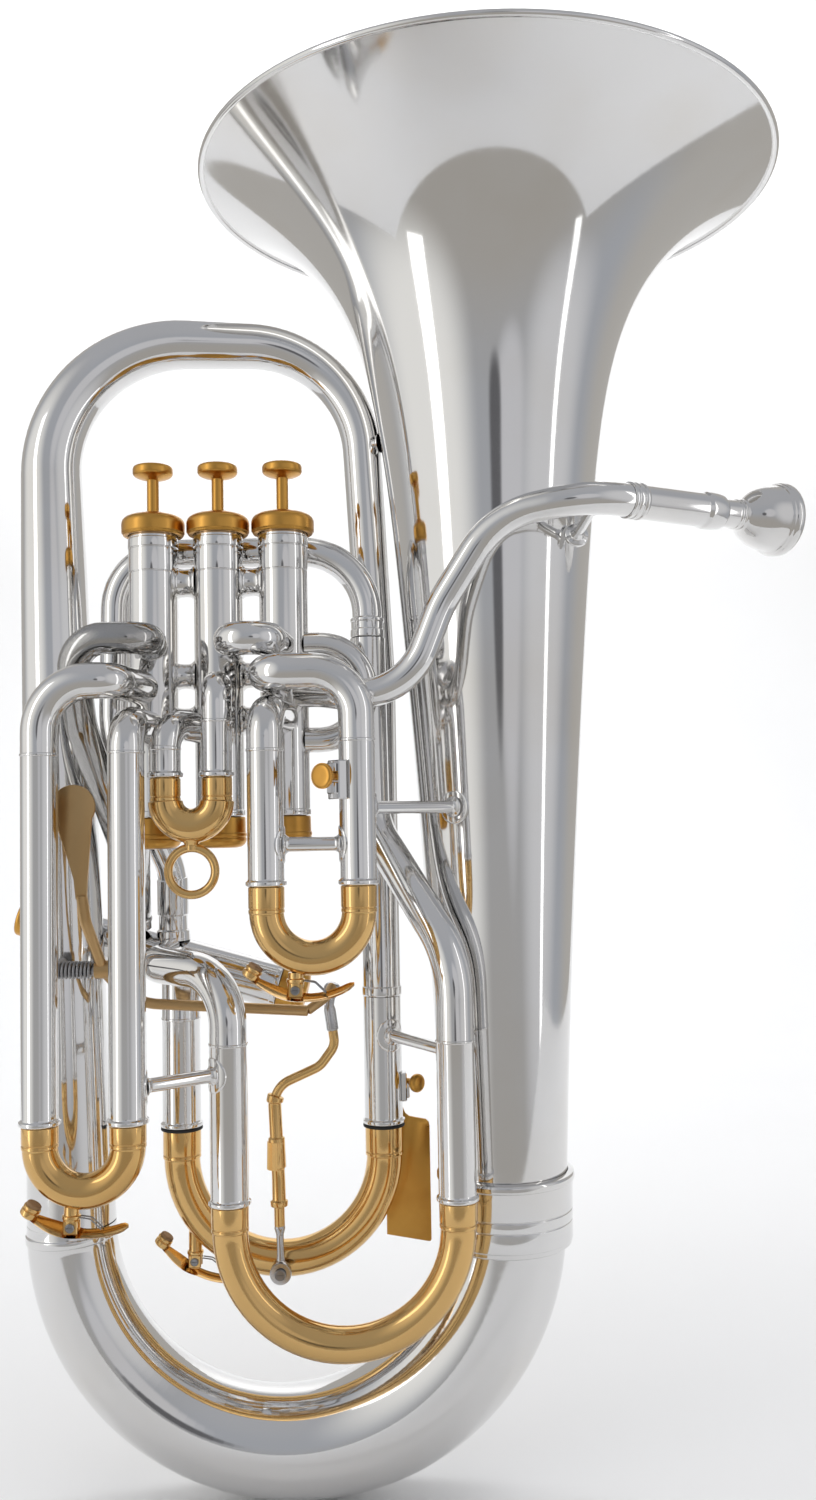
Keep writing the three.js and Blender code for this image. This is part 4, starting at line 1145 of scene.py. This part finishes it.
# soft walls of the room: direction, where each starts and is full, its colour
ROOM_TINT, ROOM_LIGHT = (0.50, 0.52, 0.56), 0.82
ROOM = (((0, 1, 0), 0.1, 0.6, (0.58, 0.56, 0.53)),
        ((0, -0.35, -1), 0.15, 0.75, (0.50, 0.48, 0.45)),
        ((0, -0.25, 1), 0.45, 0.95, (0.54, 0.55, 0.58)),
        ((-0.9, -0.42, 0.12), 0.62, 0.95, (1.10, 1.09, 1.06)),
        ((0.86, -0.5, 0.15), 0.78, 0.97, (0.80, 0.80, 0.82)),
        ((0.28, -0.95, 0.1), 0.955, 0.985, (0.74, 0.74, 0.77)),
        ((0.03, -0.99, 0.02), 0.992, 0.998, (0.16, 0.16, 0.17)))


def soft_light(name, spot, aim, wide, tall, power):
    """Rectangular lamp at a spot, facing another."""
    lamp = bpy.data.lights.new(name, "AREA")
    lamp.shape, lamp.size, lamp.size_y, lamp.energy = "RECTANGLE", wide, tall, power
    obj = bpy.data.objects.new(name, lamp)
    bpy.context.scene.collection.objects.link(obj)
    obj.location = spot
    obj.rotation_euler = (Vector(aim) - Vector(spot)).to_track_quat("-Z", "Y").to_euler()
    return obj


class EUPH_OT_stage(bpy.types.Operator):
    """Set the pale floor and backdrop, the soft lights and the camera"""
    bl_idname = "euphonium.stage"
    bl_label = "Stage"

    def execute(self, context):
        scene = context.scene
        rows = [(FLOOR_FRONT, FLOOR_Z), (FLOOR_BEND, FLOOR_Z)]
        rows += [(FLOOR_BEND + SWEEP * math.sin(a), FLOOR_Z + SWEEP - SWEEP * math.cos(a))
                 for a in (math.radians(6 * k) for k in range(1, 16))]
        rows.append((FLOOR_BEND + SWEEP, BACKDROP_TOP))
        verts = [(x, y, z) for y, z in rows for x in (-FLOOR_HALF, FLOOR_HALF)]
        faces = [(2 * i, 2 * i + 1, 2 * i + 3, 2 * i + 2) for i in range(len(rows) - 1)]
        mesh = bpy.data.meshes.new("floor_sweep")
        mesh.from_pydata(verts, [], faces)
        mesh.materials.append(finish("pale floor"))
        mesh.shade_smooth()
        floor = bpy.data.objects.new("floor_sweep", mesh)
        scene.collection.objects.link(floor)

        world = bpy.data.worlds.new("studio")
        scene.world = world
        world.use_nodes = True
        n, link = world.node_tree.nodes, world.node_tree.links.new
        where = n.new("ShaderNodeTexCoord").outputs["Generated"]
        shade = n.new("ShaderNodeRGB").outputs[0]
        shade.default_value = (*ROOM_TINT, 1)
        for way, start, full, tint in ROOM:
            facing = node(n, "ShaderNodeVectorMath", {1: Vector(way).normalized()},
                          operation="DOT_PRODUCT")
            link(where, facing.inputs[0])
            ease = node(n, "ShaderNodeMapRange", {"From Min": start, "From Max": full},
                        interpolation_type="SMOOTHSTEP")
            link(facing.outputs["Value"], ease.inputs["Value"])
            mix = node(n, "ShaderNodeMix", {"B": (*tint, 1)}, data_type="RGBA")
            link(ease.outputs["Result"], mix.inputs["Factor"])
            link(shade, mix.inputs["A"])
            shade = mix.outputs["Result"]
        link(shade, n["Background"].inputs["Color"])
        n["Background"].inputs["Strength"].default_value = ROOM_LIGHT

        middle = at(-20, 0, 340)
        for name, spot, aim, wide, tall, power, shown in (
                ("left_strip", middle + Vector((-1.45, -1.0, 0.2)), middle, 0.36, 2.0, 2.9, True),
                ("right_strip", middle + Vector((1.6, -0.8, 0.2)), middle, 0.14, 2.0, 1.1, True),
                ("top_box", middle + Vector((0.1, -0.3, 1.7)), middle, 1.8, 1.2, 6, False),
                ("floor_wash", (0, -0.2, 2.4), (0, 0.5, 0), 2.0, 1.2, 6, False),
                ("back_wash", (0, 0.9, 2.4), (0, 2.1, 0.9), 3.0, 0.8, 36, False)):
            soft_light(name, spot, aim, wide, tall, power).visible_glossy = shown

        data = bpy.data.cameras.new("camera")
        data.lens, data.sensor_width = LENS, SENSOR
        data.clip_start = 0.01
        camera = bpy.data.objects.new("camera", data)
        camera.matrix_world = (Matrix.Translation(at(*EYE_POINT))
                               @ Matrix.Rotation(math.pi / 2 + LOOK_UP, 4, "X")
                               @ Matrix.Rotation(ROLL, 4, "Z"))
        scene.collection.objects.link(camera)
        scene.camera = camera
        scene.view_settings.view_transform = "Standard"
        return {"FINISHED"}


# ---- panel and registration ----

STEPS = (EUPH_OT_stage, EUPH_OT_bell, EUPH_OT_branches, EUPH_OT_slides, EUPH_OT_main_slide,
         EUPH_OT_loops, EUPH_OT_leadpipe, EUPH_OT_valves, EUPH_OT_trigger, EUPH_OT_keys,
         EUPH_OT_small_work)


class EUPH_PT_panel(bpy.types.Panel):
    bl_label = "Euphonium"
    bl_space_type = "VIEW_3D"
    bl_region_type = "UI"
    bl_category = "Euphonium"

    def draw(self, context):
        for group in (context.scene.euphonium_sizes, context.scene.euphonium_colours):
            box = self.layout.box()
            for name in group.__annotations__:
                box.prop(group, name)
        for step in STEPS:
            self.layout.operator(step.bl_idname)


CLASSES = (EuphoniumSizes, EuphoniumColours) + STEPS + (EUPH_PT_panel,)


def register():
    for one in CLASSES:
        bpy.utils.register_class(one)
    bpy.types.Scene.euphonium_sizes = PointerProperty(type=EuphoniumSizes)
    bpy.types.Scene.euphonium_colours = PointerProperty(type=EuphoniumColours)


def unregister():
    del bpy.types.Scene.euphonium_sizes
    del bpy.types.Scene.euphonium_colours
    for one in reversed(CLASSES):
        bpy.utils.unregister_class(one)


def main():
    register()
    for step in STEPS:
        group, name = step.bl_idname.split(".")
        if "FINISHED" not in getattr(getattr(bpy.ops, group), name)():
            raise RuntimeError(step.bl_idname + " did not finish")


if __name__ == "__main__":
    main()
